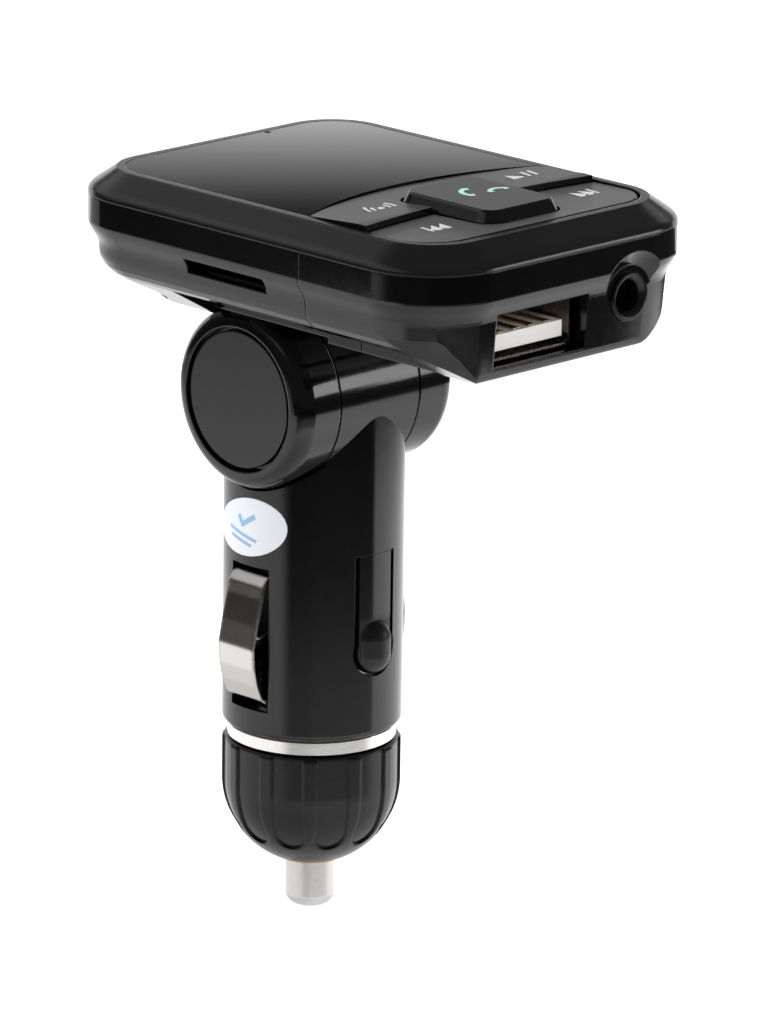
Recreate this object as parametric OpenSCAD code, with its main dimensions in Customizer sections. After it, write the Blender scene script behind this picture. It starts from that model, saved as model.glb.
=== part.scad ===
// Car FM transmitter: a socket plug with a hinged head that holds a display, keys, card slot, USB and
// audio sockets.
// Millimetres. Z runs up the plug's axis from the contact pin's end, X towards the head's sockets, Y along
// the hinge.

/* [Plug] */
// diameter of the plug body
plug_d = 20.7; // [18:0.1:24]
// height of the plug body's lower edge
plug_z = 22.5; // [20:0.1:26]
// wall of the plug body
plug_wall = 1.6; // [1.2:0.1:2]
// rounding of the plug body's lower edge
plug_round = 0.7; // [0.3:0.1:1.2]
// how far the threaded spout stands in from the plug's side
spout_step = 3; // [2.6:0.1:3.4]
// length of the threaded spout below the body
spout_len = 6.4; // [4:0.1:8]
// bore of the spout
spout_bore_d = 11.2; // [9:0.1:12]

/* [Hinge] */
// rise from the springs' slots to the hinge axis
hinge_rise = 19.8; // [19:0.1:24]
// diameter of the hinge barrel
barrel_d = 21.1; // [20:0.1:24]
// length of the hinge barrel
barrel_len = 24.6; // [22:0.1:28]
// width of each outer knuckle
outer_knuckle_w = 5.95; // [5.9:0.05:6.5]
// gap between neighbouring knuckles
knuckle_gap = 0.25; // [0.15:0.05:0.5]
// radial gap round a knuckle
saddle_gap = 0.3; // [0.2:0.05:0.6]
// diameter of the hollow axle
axle_d = 8; // [6:0.1:9]
// bore of the hollow axle
axle_bore_d = 3.4; // [2.6:0.1:4]
// rounding of the barrel's outer edges
barrel_round = 2.1; // [1:0.1:2.4]
// diameter of the flat end caps
end_cap_d = 15.7; // [14:0.1:17]

/* [Nose] */
// diameter of the nose cap
nose_d = 20.6; // [18:0.1:24]
// height of the nose cap's upper edge
nose_top_z = 20.5; // [18:0.1:22]
// height of the centre of the nose cap's dome
dome_z = 15.5; // [14:0.1:17]
// number of flutes
flute_n = 12; // [8:1:16]
// width of a flute
flute_w = 3.7; // [2:0.1:4.4]
// depth of a flute
flute_depth = 0.25; // [0.15:0.05:0.5]
// diameter of the metal ring
ring_d = 19.5; // [18:0.1:21]
// diameter of the contact pin
pin_d = 5.7; // [5:0.1:7]

/* [Springs and tongues] */
// width of a ground spring
spring_w = 5.5; // [4:0.1:7]
// thickness of a ground spring
spring_t = 0.4; // [0.3:0.05:0.6]
// how far a ground spring bows out of the plug
spring_bow = 1.95; // [1:0.05:3]
// lower end of a ground spring's slot
spring_slot_z = 25.6; // [24:0.1:28]
// length of a ground spring's slot
spring_slot_len = 17; // [15:0.1:18.5]
// width of a retention tongue
tongue_w = 4.85; // [4:0.05:6]
// height of a tongue's root
tongue_root_z = 44.2; // [40:0.1:46]
// height of the centre of a tongue's round end
tongue_end_z = 32.9; // [31:0.1:35]
// width of the slots beside a tongue
tongue_slot_w = 0.6; // [0.4:0.05:0.8]
// how far a tongue's bump stands out
bump_out = 1.4; // [0.8:0.1:2]

/* [Head] */
// rim of the head behind the hinge
head_back = 16.7; // [15:0.1:22]
// rim of the head in front of the hinge
head_front = 37; // [32:0.1:42]
// half width of the head's rim
head_half_w = 19.1; // [17:0.1:24]
// corner radius of the rim
rim_corner_r = 6.5; // [5:0.1:9]
// height of the head from its flat underside to its rim
head_h = 15.85; // [15.2:0.05:19]
// drop from the rim to the crest, where the head is widest
crest_drop = 2.2; // [1.5:0.1:3]
// how far the crest stands outside the rim
crest_out = 3.2; // [2:0.1:4]
// how far the lower tier stands outside the rim
tier_out = 2; // [1:0.1:3]
// how deep the outer knuckles stand in the head
knuckle_sink = 1.1; // [0.9:0.1:1.6]
// wall of the head's shells
head_wall = 1.5; // [1.2:0.1:2]
// how much a front corner of the lower tier leans in towards its foot
corner_lean_in = 2.8; // [1:0.1:3.4]
// place of the seam between the rear and front shells
shell_seam_x = 19.8; // [17:0.1:21]

/* [Keypad and display] */
// border between the rim's edge and the lens
border = 1; // [0.6:0.1:1.6]
// thickness of the lens
lens_t = 1.5; // [1:0.1:2]
// radius of the lens's curved edge
lens_arc_r = 42; // [30:1:60]
// place of the curved edge on the middle line
lens_arc_x = 12.75; // [8:0.05:16]
// radius of the line between the two key bars
bar_arc_r = 110; // [60:1:160]
// place of that line in the middle
bar_arc_x = 24.25; // [22:0.05:26]
// gap round the keys
key_gap = 0.28; // [0.2:0.02:0.4]
// travel of the keys
key_travel = 0.35; // [0.2:0.05:0.5]
// length of the call key
call_len = 15; // [12:0.1:16]
// width of the call key
call_w = 12; // [10:0.1:14]
// how far the call key stands above the rim
call_rise = 1.25; // [0.8:0.05:1.6]
// how far the back bar's front edge stands above the rim
bar_rise = 0.5; // [0.2:0.05:0.8]
// depth of the back bar's edge beside the lens, below the rim
bar_dip = 0.25; // [0:0.05:0.4]
// lean of the front bar's top, down towards the back bar, in degrees
front_bar_lean = 1.4; // [0:0.1:2]

/* [Sockets] */
// width of the USB window
usb_window_w = 14.4; // [13.6:0.1:16]
// height of the USB window
usb_window_h = 6.3; // [5.8:0.1:7]
// sideways place of the USB socket
usb_y = -3.6; // [-5:0.1:-2]
// height of the USB socket's middle above the flat underside
usb_rise = 4.55; // [4.4:0.05:4.7]
// sideways place of the audio socket
aux_y = 9.9; // [9:0.1:12]
// depth of the audio socket's middle below the rim
aux_drop = 9.6; // [9.2:0.1:10]
// bore of the audio socket
aux_bore_d = 3.6; // [3.5:0.05:3.8]
// middle of the card slot
card_x = 7.4; // [5:0.1:10]
// width of the card slot
card_slot_w = 12.6; // [11.6:0.1:14]
// height of the card slot
card_slot_h = 1.7; // [1.2:0.1:2.2]
// depth of the card slot's middle below the rim
card_drop = 7.95; // [7.5:0.05:8.3]

/* [Inside] */
// thickness of the main board
board_t = 1; // [0.8:0.1:1.6]
// thickness of the power board
power_board_t = 1.2; // [0.8:0.1:1.6]
// length of the fuse
fuse_len = 20; // [15:0.5:22]
// diameter of the fuse
fuse_d = 5.2; // [4.5:0.1:6.4]
// turns of the pin spring
pin_spring_turns = 6; // [4:1:8]
// radius of a wire's sheath
wire_r = 0.5; // [0.3:0.05:0.6]

/* [Hidden] */
$fn = 96;
over = 1;
snug = 0.03;
slack = 0.1;

// plug
spring_slot_top = spring_slot_z + spring_slot_len;
hinge_z = spring_slot_top + hinge_rise;
plug_r = plug_d / 2;
spout_d = plug_d - 2 * spout_step;
plug_in_r = plug_r - plug_wall;
spout_z = plug_z - spout_len + slack;
spout_floor = 2;
barrel_r = barrel_d / 2;
saddle_r = barrel_r + saddle_gap;
barrel_half = barrel_len / 2;
side_in = barrel_half - outer_knuckle_w;
mid_half = side_in - knuckle_gap;
plug_roof_z = hinge_z - saddle_r - plug_wall;
hub_wall = 1.6;
hub_r = axle_d / 2 + hub_wall;
thread_pitch = 1.5;
thread_depth = 0.35;
boss_r = 2.2;
screw_r = 1;
screw_head_r = 1.9;
screw_head_h = 1.2;
plug_screw_drop = 0.8;
plug_screw_z = plug_roof_z - boss_r - plug_screw_drop;

// hinge
cap_groove = 0.5;
cap_seat_r = end_cap_d / 2 + cap_groove;
cap_t = 1.1;
cap_flange_t = 0.5;
cap_sink = 0.2;
cap_seat_depth = cap_t + cap_flange_t + cap_sink;
cup_lip = 1.1;
cup_r = cap_seat_r - cup_lip;
web_t = 1.6;
washer_t = 0.6;
washer_rim = 2.4;
washer_r = axle_d / 2 + washer_rim;
clip_t = 0.5;
clip_rim = 1.3;
clip_r = axle_d / 2 + clip_rim;
clip_groove_depth = 0.45;
axle_tail = 0.15;
axle_half = side_in + web_t + washer_t + clip_t + axle_tail + 2 * slack;
wire_gap = 0.15;
wire_room = 0.25;
wire_x = wire_r + wire_gap;
wire_slot_x = wire_x + wire_r + wire_room;
wire_slot_y = wire_r + wire_room;
lead_y = barrel_half - cap_seat_depth - wire_r - slack / 2;

// nose
nose_r = nose_d / 2;
pin_r = pin_d / 2;
bush_wall = 0.8;
bush_r = pin_r + bush_wall;
bush_flange_r = 4.8;
bush_flange_t = 0.8;
bush_z = dome_z - sqrt(nose_r * nose_r - bush_r * bush_r);
nose_floor_t = 1.8;
nose_floor_z = bush_z + nose_floor_t;
pin_flange_r = 4.6;
pin_flange_t = 1.2;
pin_flange_z = nose_floor_z + bush_flange_t + slack;
pin_tip_round = 1.4;
nose_hole_r = 5;
nose_wide_z = 13;
nose_bore_r = 5.6;
socket_gap = 0.15;
socket_z = spout_z - 2 * socket_gap;
flute_end_z = 8.9;
flute_turn = 360 / flute_n;
flute_phase = 15;
nose_rim_round = 0.35;
ring_edge = 0.25;
fuse_z = pin_flange_z + pin_flange_t;
fuse_r = fuse_d / 2;
fuse_cap_len = 5;
fuse_cap_wall = 0.3;
fuse_wire_r = 0.12;
pin_spring_z = fuse_z + fuse_len;
pin_spring_len = 6.6;
pin_spring_r = 2.2;
pin_spring_wire_r = 0.32;
pin_spring_pitch = pin_spring_len / pin_spring_turns;
seat_t = 0.4;
seat_r = 3.3;
seat_z = pin_spring_z + pin_spring_len;
seat_tab = 2.2;

// springs and tongues
spring_room = 0.4;
spring_slot_w = spring_w + spring_room;
spring_mid = plug_r + spring_bow;
spring_lip = 1.6;
spring_low_gap = 0.3;
spring_top_gap = 0.5;
tongue_open_w = tongue_w + 2 * tongue_slot_w;
tongue_in_r = plug_in_r;
bump_w = 4.7;
bump_len = 6.6;
bump_sink = 1;
tongue_round_r = 2.6;
strap_t = 0.35;
strap_w = 4;
strap_y = 7.5;
strap_lift = 0.5;
strap_foot_z = spring_slot_top + strap_lift;

// power board
power_board_half = strap_y - strap_t - slack;
power_board_low_half = 4.8;
power_board_step_z = strap_foot_z + strap_t + snug;
power_board_lift = 1.6;
power_board_drop = 0.6;
power_board_z = seat_z + power_board_lift;
power_board_top = plug_roof_z - power_board_drop;
strap_end_gap = 1.4;
strap_len = power_board_top - strap_foot_z - strap_end_gap;
coil_r = 2.5;
coil_h = 4.2;
coil_lift = 0.6;
coil_z = seat_z + seat_tab + coil_r + coil_lift;
capacitor_r = 2;
capacitor_len = 5.2;
capacitor_y = 2.3;
power_chip_w = 4;
power_chip_t = 1.3;
power_chip_drop = 2.4;
power_chip_z = power_board_top - power_chip_drop;
power_chip_y = 4.8;

// sticker
sticker_t = 0.08;
sticker_w = 11.4;
sticker_h = 6.7;
sticker_lift = 4.4;
sticker_z = spring_slot_top + sticker_lift;
sticker_turn = -94;
sticker_tilt = 12;
sticker_egg_share = 0.15;

// head: heights, corner centres and radii
head_bottom_z = hinge_z + barrel_r - knuckle_sink;
rim_z = head_bottom_z + head_h;
usb_z = head_bottom_z + usb_rise;
aux_z = rim_z - aux_drop;
card_z = rim_z - card_drop;
corner_x0 = rim_corner_r - head_back;
corner_x1 = head_front - rim_corner_r;
corner_y = head_half_w - rim_corner_r;
crest_z = rim_z - crest_drop;
seam_drop = 0.6;
seam_gap = 0.1;
seam_z = crest_z - seam_drop;
crest_r = rim_corner_r + crest_out;
tier_r = rim_corner_r + tier_out;
rim_edge = 0.25;
crest_edge = 0.2;
crest_round = 0.9;
crest_low = 0.45;
lower_round = 1.1;
band_drop = 5.9;
band_low_z = rim_z - band_drop;
cove_h = 2.9;
tier_top_z = band_low_z - cove_h;
tier_draft = 0.5;
belly_edge_r = 6.4;
belly_edge_rise = 3.6;
belly_slope_share = belly_edge_rise / belly_edge_r;
belly_top_rise = 6.7;
lean_rise = 4;
notch_x0 = -3.5;
notch_x1 = 33;
notch_back_x1 = 21;
notch_z = head_bottom_z + belly_edge_rise + slack;
relief_x1 = 14.5;
relief_h = 0.65;
pad_half_x = 12.4;
pad_h = 3.1;
lip_h = 0.8;
lip_t = 0.7;
lip_gap = 0.1;

// top frame, lens and keys
pocket_r = rim_corner_r - border;
lens_z = rim_z - lens_t;
ledge_w = 1.4;
ledge_t = 1;
window_r = 2;
deck_t = 0.9;
key_t = 1.6;
key_base_z = rim_z - key_t;
deck_reach = 0.9;
deck_z = key_base_z - key_travel - slack - deck_t;
deck_x0 = lens_arc_x - deck_reach;
stem_r = 1.2;
stem_gap = 0.4;
call_x = 25.6;
call_corner_r = 2.4;
call_bevel = 0.85;
call_top_z = rim_z + call_rise;
call_side_z = rim_z - slack;
bar_stem_y = 11.2;
back_stem_x = 20;
front_stem_x = 29.6;
fulcrum_r = 0.8;
back_fulcrum_x = 15.3;
front_fulcrum_x = 34.2;
fulcrum_len = 1.6;
key_edge = 0.25;
mic_x = -15.1;
mic_y = 6.7;
mic_hole_r = 0.4;
mic_r = 2;
mic_h = 1.3;
boot_wall = 0.5;
back_edge = 1.1;

// boards and modules
board_z = card_z + card_slot_h / 2 + slack;
board_top = board_z + board_t;
board_inset = 2.2;
switch_w = 3.4;
switch_h = 0.9;
switch_cap_r = 0.9;
switch_cap_h = 0.35;
switch_top = board_top + switch_h + switch_cap_h;
module_x0 = -11.2;
module_x1 = 10.2;
module_half = 13;
module_t = 2.2;
cable_w = 8;
cable_t = 0.2;
chip_w = 6;
chip_t = 1;
chip_x = -2;
chip_y = 6;
small_chip_w = 4;
small_chip_x = 5;
small_chip_y = -6;
crystal_len = 5;
crystal_w = 2.2;
crystal_x = -6.6;
crystal_y = -5;
head_screw_x0 = -11;
head_screw_x1 = 31.2;
head_screw_y = 15.4;
head_screw_rise = 5.2;
head_screw_z = head_bottom_z + head_screw_rise;
head_screw_len = 6.9;
head_boss_r = 2.5;
head_boss_top = board_z - slack;

// sockets
usb_w = 13.1;
usb_h = 5.7;
usb_metal = 0.3;
usb_len = 14;
inner_front_x = head_front + tier_out - head_wall - tier_draft - slack;
usb_front_x = inner_front_x;
usb_tongue_gap = 0.95;
usb_tongue_w = usb_w - 2 * usb_tongue_gap;
usb_tongue_t = 1.84;
usb_tongue_back = 3;
usb_tongue_sink = 0.4;
usb_tongue_lift = 0.7;
usb_contact_w = 1;
usb_contact_t = 0.15;
usb_contact_share = [-1.5, -0.5, 0.5, 1.5];
usb_contact_gap = 2.4;
usb_leg_w = 1.2;
front_x = head_front + tier_out;
band_x = head_front + crest_out;
aux_arch_r = 5.3;
aux_recess_r = 3.6;
aux_collar_r = 2.75;
aux_mouth_r = 2.35;
aux_mouth_depth = 0.5;
aux_collar_out = 0.35;
aux_body_w = 5.4;
aux_body_len = 12;
aux_hole_depth = 11;
reader_w = 14;
reader_len = 13.4;
reader_metal = 0.25;
side_y = head_half_w + tier_out;

// box between two corner points
module block(a, b) {
  translate(a) cube(b - a);
}

// tube along Z
module tube(r_out, r_in, z0, z1) {
  difference() {
    translate([0, 0, z0]) cylinder(r = r_out, h = z1 - z0);
    translate([0, 0, z0 - over]) cylinder(r = r_in, h = z1 - z0 + 2 * over);
  }
}

// round bar along Y on the hinge axis
module hinge_bar(r, y0, y1) {
  translate([0, y0, hinge_z]) rotate([-90, 0, 0]) cylinder(r = r, h = y1 - y0);
}

// the same on both sides of the middle
module both_sides() {
  children();
  mirror([0, 1, 0]) children();
}

// round-cornered solid whose side follows points [radius from the corner centre, height]
module swept_box(x0, x1, y, side) {
  n = len(side);
  wedge = concat(side[0][0] > 0 ? [[0, side[0][1]]] : [], side, [[0, side[n - 1][1]]]);
  for (c = [[x1, y, 0], [x0, y, 90], [x0, -y, 180], [x1, -y, 270]])
    translate([c[0], c[1], 0]) rotate([0, 0, c[2]]) rotate_extrude(angle = 90) polygon(wedge);
  translate([x0, 0, 0]) rotate([90, 0, 90]) linear_extrude(x1 - x0)
    polygon(concat([for (p = side) [y + p[0], p[1]]], [for (i = [n - 1:-1:0]) [-y - side[i][0],
        side[i][1]]]));
  translate([0, y, 0]) rotate([90, 0, 0]) linear_extrude(2 * y)
    polygon(concat([for (p = side) [x1 + p[0], p[1]]], [for (i = [n - 1:-1:0]) [x0 - side[i][0],
        side[i][1]]]));
}

// points of a curve from a to c that leaves and arrives towards b
function bend(a, b, c) = [for (t = [0:0.25:1]) (1 - t) * (1 - t) * a + 2 * t * (1 - t) * b + t * t * c];

// the head's plan at a distance outside the rim, between two heights
module head_slab(out, z0, z1) {
  swept_box(corner_x0, corner_x1, corner_y, [[rim_corner_r + out, z0], [rim_corner_r + out, z1]]);
}

// the whole plug body before it is split in two
module plug_body() {
  difference() {
    union() {
      difference() {
        rotate_extrude() polygon([
          [0, spout_z], [spout_d / 2 - thread_depth, spout_z],
          for (k = [0:3]) each [
            [spout_d / 2 - thread_depth, spout_z + (k + 0.2) * thread_pitch],
            [spout_d / 2, spout_z + (k + 0.45) * thread_pitch],
            [spout_d / 2, spout_z + (k + 0.65) * thread_pitch],
            [spout_d / 2 - thread_depth, spout_z + (k + 0.9) * thread_pitch]],
          [spout_d / 2 - thread_depth, plug_z],
          [plug_r - plug_round, plug_z],
          for (a = [15:15:90]) [plug_r - plug_round + plug_round * sin(a),
              plug_z + plug_round - plug_round * cos(a)],
          [plug_r, hinge_z], [0, hinge_z]]);
        both_sides() hinge_bar(saddle_r, mid_half, plug_r + over);
      }
      hinge_bar(barrel_r, -mid_half, mid_half);
    }
    // spout bore and the main hollow
    translate([0, 0, spout_z - over])
        cylinder(r = spout_bore_d / 2, h = spout_len + spout_floor + 2 * over);
    translate([0, 0, plug_z + spout_floor]) cylinder(r = plug_in_r, h = plug_roof_z - plug_z - spout_floor);
    // hollow of the middle knuckle, round the hub
    difference() {
      union() {
        hinge_bar(barrel_r - plug_wall, plug_wall - mid_half, mid_half - plug_wall);
        block([plug_wall - plug_in_r + plug_wall, plug_wall - mid_half, plug_roof_z - over],
              [plug_in_r - 2 * plug_wall, mid_half - plug_wall, hinge_z]);
      }
      hinge_bar(hub_r, -mid_half, mid_half);
    }
    hinge_bar(axle_d / 2, -mid_half - over, mid_half + over);
    block([-wire_slot_x, -wire_slot_y, hinge_z - hub_r - over], [wire_slot_x, wire_slot_y, hinge_z]);
    // slots for the ground springs
    both_sides() block([-spring_slot_w / 2, plug_in_r - over, spring_slot_z],
                       [spring_slot_w / 2, plug_r + over, spring_slot_top]);
    for (turn = [0, 180]) rotate([0, 0, turn]) tongue_opening();
  }
}

// opening that a retention tongue lies in
module tongue_opening() {
  block([plug_in_r - over, -tongue_open_w / 2, tongue_end_z], [plug_r + over, tongue_open_w / 2,
      tongue_root_z]);
  translate([plug_in_r - over, 0, tongue_end_z]) rotate([0, 90, 0])
    cylinder(r = tongue_round_r + tongue_slot_w, h = plug_wall + 2 * over);
}

// one half of the plug body with its screw boss
module plug_half(side) {
  intersection() {
    plug_body();
    block([side > 0 ? 0 : -barrel_r - over, -barrel_r - over, 0], [side > 0 ? barrel_r + over : 0,
        barrel_r + over, rim_z]);
  }
  translate([side * (power_board_t / 2 + snug), 0, plug_screw_z]) rotate([0, side * 90, 0]) difference() {
    cylinder(r = boss_r, h = plug_r - tongue_clear(side));
    translate([0, 0, -over]) cylinder(r = screw_r, h = plug_r);
  }
}

// how much shorter the boss is than the plug's radius, so that it ends inside the wall
function tongue_clear(side) = power_board_t / 2 + plug_wall / 2;

module plug_shell_front() {
  color([0.05, 0.05, 0.055]) plug_half(1);
}

module plug_shell_rear() {
  color([0.05, 0.05, 0.055]) difference() {
    plug_half(-1);
    translate([-plug_r - over, 0, plug_screw_z]) rotate([0, 90, 0]) cylinder(r = screw_head_r + slack,
        h = over + 2 * screw_head_h);
    translate([-plug_r - over, 0, plug_screw_z]) rotate([0, 90, 0])
        cylinder(r = screw_r + slack, h = plug_r);
  }
}

module plug_screw() {
  head_x = 2 * screw_head_h - plug_r;
  color([0.7, 0.7, 0.7]) translate([head_x, 0, plug_screw_z]) rotate([0, 90, 0]) difference() {
    union() {
      translate([0, 0, -screw_head_h]) cylinder(r = screw_head_r, h = screw_head_h);
      cylinder(r = screw_r - snug, h = plug_r - head_x - 2 * plug_wall - plug_r / 2);
    }
    cross_slot(screw_head_r, -screw_head_h);
  }
}

// cross recess in a screw's head, open towards lower z
module cross_slot(r, z) {
  for (turn = [0, 90]) rotate([0, 0, turn])
    translate([-r * 0.6, -r * 0.12, z - over]) cube([r * 1.2, r * 0.24, over + screw_head_h / 2]);
}

module nose_ring() {
  z0 = nose_top_z + slack;
  r = ring_d / 2;
  color([0.8, 0.78, 0.74]) difference() {
    rotate_extrude() polygon([[0, z0], [r - ring_edge, z0], [r, z0 + ring_edge], [r, plug_z - ring_edge],
      [r - ring_edge, plug_z], [0, plug_z]]);
    translate([0, 0, z0 - over]) cylinder(r = spout_d / 2 + snug, h = plug_z);
  }
}

// nose cap's outer form, shrunk by a depth
module nose_form(depth) {
  rotate_extrude() intersection() {
    union() {
      translate([0, dome_z]) circle(r = nose_r - depth);
      translate([0, dome_z]) square([nose_r - depth, nose_top_z - dome_z - nose_rim_round]);
      translate([0, dome_z]) square([nose_r - depth - nose_rim_round, nose_top_z - dome_z]);
      translate([nose_r - depth - nose_rim_round, nose_top_z - nose_rim_round]) circle(r = nose_rim_round);
    }
    translate([0, bush_z]) square([nose_r, nose_top_z - bush_z]);
  }
}

module nose_cap() {
  color([0.07, 0.07, 0.075]) difference() {
    nose_form(0);
    for (i = [0:flute_n - 1]) rotate([0, 0, flute_phase + flute_turn / 2 + i * flute_turn]) flute();
    translate([0, 0, bush_z - over]) cylinder(r = bush_r + snug, h = nose_top_z);
    translate([0, 0, nose_floor_z]) cylinder(r = nose_hole_r, h = nose_top_z);
    translate([0, 0, nose_wide_z]) cylinder(r = nose_bore_r, h = nose_top_z);
    translate([0, 0, socket_z]) cylinder(r = spout_d / 2 + socket_gap, h = nose_top_z);
  }
}

// one flute: a round-ended slot taken down to a fixed depth under the surface
module flute() {
  difference() {
    union() {
      block([nose_r / 2, -flute_w / 2, flute_end_z + flute_w / 2], [nose_r + over, flute_w / 2,
          nose_top_z + over]);
      translate([nose_r / 2, 0, flute_end_z + flute_w / 2]) rotate([0, 90, 0])
          cylinder(r = flute_w / 2, h = nose_r / 2 + over);
    }
    translate([0, 0, dome_z]) sphere(r = nose_r - flute_depth);
    translate([0, 0, dome_z]) cylinder(r = nose_r - flute_depth, h = nose_top_z);
  }
}

module pin_bush() {
  color([0.6, 0.55, 0.45]) difference() {
    union() {
      translate([0, 0, bush_z - slack]) cylinder(r = bush_r, h = nose_floor_z - bush_z + slack);
      translate([0, 0, nose_floor_z]) cylinder(r = bush_flange_r, h = bush_flange_t);
    }
    translate([0, 0, bush_z - over]) cylinder(r = pin_r + snug, h = nose_floor_z);
  }
}

module contact_pin() {
  color([0.8, 0.78, 0.75]) rotate_extrude() {
    translate([pin_r - pin_tip_round, pin_tip_round]) circle(r = pin_tip_round);
    square([pin_r - pin_tip_round, pin_tip_round]);
    translate([0, pin_tip_round]) square([pin_r, pin_flange_z - pin_tip_round]);
    translate([0, pin_flange_z]) square([pin_flange_r, pin_flange_t]);
  }
}

// a wire's level section, bent round the coil, as points for one side or the other
function coil_section(side) = [for (k = [-1:0.25:1])
  let (out = pin_spring_r + side * pin_spring_wire_r * sqrt(1 - k * k),
      turn = k * 360 * pin_spring_wire_r / pin_spring_pitch)
  [out * cos(turn), out * sin(turn)]];

module pin_spring() {
  inner = coil_section(-1);
  last = len(inner) - 2;
  color([0.75, 0.75, 0.72]) translate([0, 0, pin_spring_z])
    linear_extrude(pin_spring_len, twist = -360 * pin_spring_turns, slices = 20 * pin_spring_turns, $fn = 8)
      polygon(concat(coil_section(1), [for (i = [last:-1:1]) inner[i]]));
}

module fuse_glass() {
  color([0.8, 0.85, 0.85, 0.5]) tube(fuse_r - fuse_cap_wall - snug, fuse_r - 4 * fuse_cap_wall,
    fuse_z + fuse_cap_wall, fuse_z + fuse_len - fuse_cap_wall);
}

module fuse_caps() {
  color([0.8, 0.8, 0.78]) for (flip = [0, 1])
    translate([0, 0, fuse_z + fuse_len / 2]) mirror([0, 0, flip]) translate([0, 0, -fuse_len / 2])
        difference() {
      cylinder(r = fuse_r, h = fuse_cap_len);
      translate([0, 0, fuse_cap_wall]) cylinder(r = fuse_r - fuse_cap_wall, h = fuse_cap_len);
    }
}

module fuse_wire() {
  color([0.6, 0.6, 0.6]) translate([0, 0, fuse_z + fuse_cap_wall])
    cylinder(r = fuse_wire_r, h = fuse_len - 2 * fuse_cap_wall, $fn = 16);
}

module spring_seat() {
  color([0.8, 0.7, 0.4]) {
    translate([0, 0, seat_z]) cylinder(r = seat_r, h = seat_t);
    for (side = [-1, 1]) block([side > 0 ? power_board_t / 2 : -power_board_t / 2 - seat_t, -seat_r / 2,
        seat_z],
      [side > 0 ? power_board_t / 2 + seat_t : -power_board_t / 2, seat_r / 2, seat_z + seat_tab]);
  }
}

// middle line of a ground spring as [distance from the plug's axis, height], from its lower end up
function spring_line() = [
  [plug_r - 0.85 * plug_wall, spring_slot_z + spring_low_gap],
  [plug_r + 0.3 * spring_bow, spring_slot_z + 0.1 * spring_slot_len],
  [plug_r + 0.68 * spring_bow, spring_slot_z + 0.2 * spring_slot_len],
  [plug_r + 0.92 * spring_bow, spring_slot_z + 0.32 * spring_slot_len],
  [spring_mid, spring_slot_z + 0.46 * spring_slot_len],
  [plug_r + 0.72 * spring_bow, spring_slot_z + 0.62 * spring_slot_len],
  [plug_r + 0.32 * spring_bow, spring_slot_z + 0.8 * spring_slot_len],
  [plug_r + 0.2 * spring_bow, spring_slot_z + 0.88 * spring_slot_len],
  [plug_r - 0.35 * plug_wall, spring_slot_z + 0.945 * spring_slot_len],
  [plug_in_r - spring_lip, spring_slot_top - spring_top_gap]];

module ground_spring(side) {
  line = spring_line();
  n = len(line);
  color([0.8, 0.78, 0.74]) mirror([0, side < 0 ? 1 : 0, 0]) translate([-spring_w / 2, 0, 0])
      rotate([90, 0, 90])
    linear_extrude(spring_w) polygon(concat(line,
      [for (i = [n - 1:-1:0]) line[i] - spring_t * spring_normal(line, i)]));
}

// unit normal of the spring's line at a point, pointing away from the plug
function spring_normal(line, i) =
  let (a = line[max(i - 1, 0)], b = line[min(i + 1, len(line) - 1)], d = b - a)
  [d[1], -d[0]] / norm(d);

module ground_spring_left() {
  ground_spring(-1);
}

module ground_spring_right() {
  ground_spring(1);
}

module ground_straps() {
  color([0.75, 0.7, 0.6]) both_sides() {
    block([-strap_w / 2, strap_y - strap_t, strap_foot_z], [strap_w / 2, strap_y,
        strap_foot_z + strap_len]);
    block([-strap_w / 2, strap_y - strap_lean(), strap_foot_z], [strap_w / 2, strap_y,
        strap_foot_z + strap_t]);
  }
}

// length of a strap's foot over the spring's end
function strap_lean() = spring_lip + strap_t;

// a retention tongue on the side where x is positive
module retention_tongue() {
  intersection() {
    union() {
      block([tongue_in_r, -tongue_w / 2, tongue_end_z], [plug_r + over, tongue_w / 2,
          tongue_root_z - snug]);
      translate([tongue_in_r, 0, tongue_end_z]) rotate([0, 90, 0])
          cylinder(r = tongue_round_r, h = plug_wall + over);
    }
    tube(plug_r, tongue_in_r, tongue_end_z - tongue_round_r - over, tongue_root_z);
  }
  bump();
}

// oval bump of a tongue: two balls and a bar, sunk into the tongue
module bump() {
  r = bump_w / 2;
  reach = bump_len / 2 - r;
  centre_x = plug_r + bump_out - r;
  z = tongue_end_z + tongue_round_r - bump_len / 2 + bump_sink;
  intersection() {
    union() {
      for (dz = [-reach, reach]) translate([centre_x, 0, z + dz]) sphere(r = r);
      translate([centre_x, 0, z - reach]) cylinder(r = r, h = 2 * reach);
    }
    block([tongue_in_r, -bump_w, z - bump_len], [plug_r + 2 * bump_out, bump_w, z + bump_len]);
  }
}

module retention_tongue_front() {
  color([0.05, 0.05, 0.055]) retention_tongue();
}

module retention_tongue_rear() {
  color([0.05, 0.05, 0.055]) rotate([0, 0, 180]) retention_tongue();
}

module power_board() {
  color([0.1, 0.35, 0.15]) difference() {
    union() {
      block([-power_board_t / 2, -power_board_low_half, power_board_z], [power_board_t / 2,
          power_board_low_half, power_board_top]);
      block([-power_board_t / 2, -power_board_half, power_board_step_z], [power_board_t / 2,
          power_board_half, power_board_top]);
    }
    translate([-over, 0, plug_screw_z]) rotate([0, 90, 0]) cylinder(r = screw_r + slack, h = 2 * over);
  }
}

module power_coil() {
  color([0.15, 0.15, 0.15]) translate([power_board_t / 2, 0, coil_z]) rotate([0, 90, 0])
      cylinder(r = coil_r, h = coil_h);
}

module power_capacitors() {
  color([0.3, 0.3, 0.35]) for (y = [-capacitor_y, capacitor_y])
    translate([-power_board_t / 2 - capacitor_r, y, coil_z - capacitor_len / 2])
        cylinder(r = capacitor_r, h = capacitor_len);
}

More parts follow.
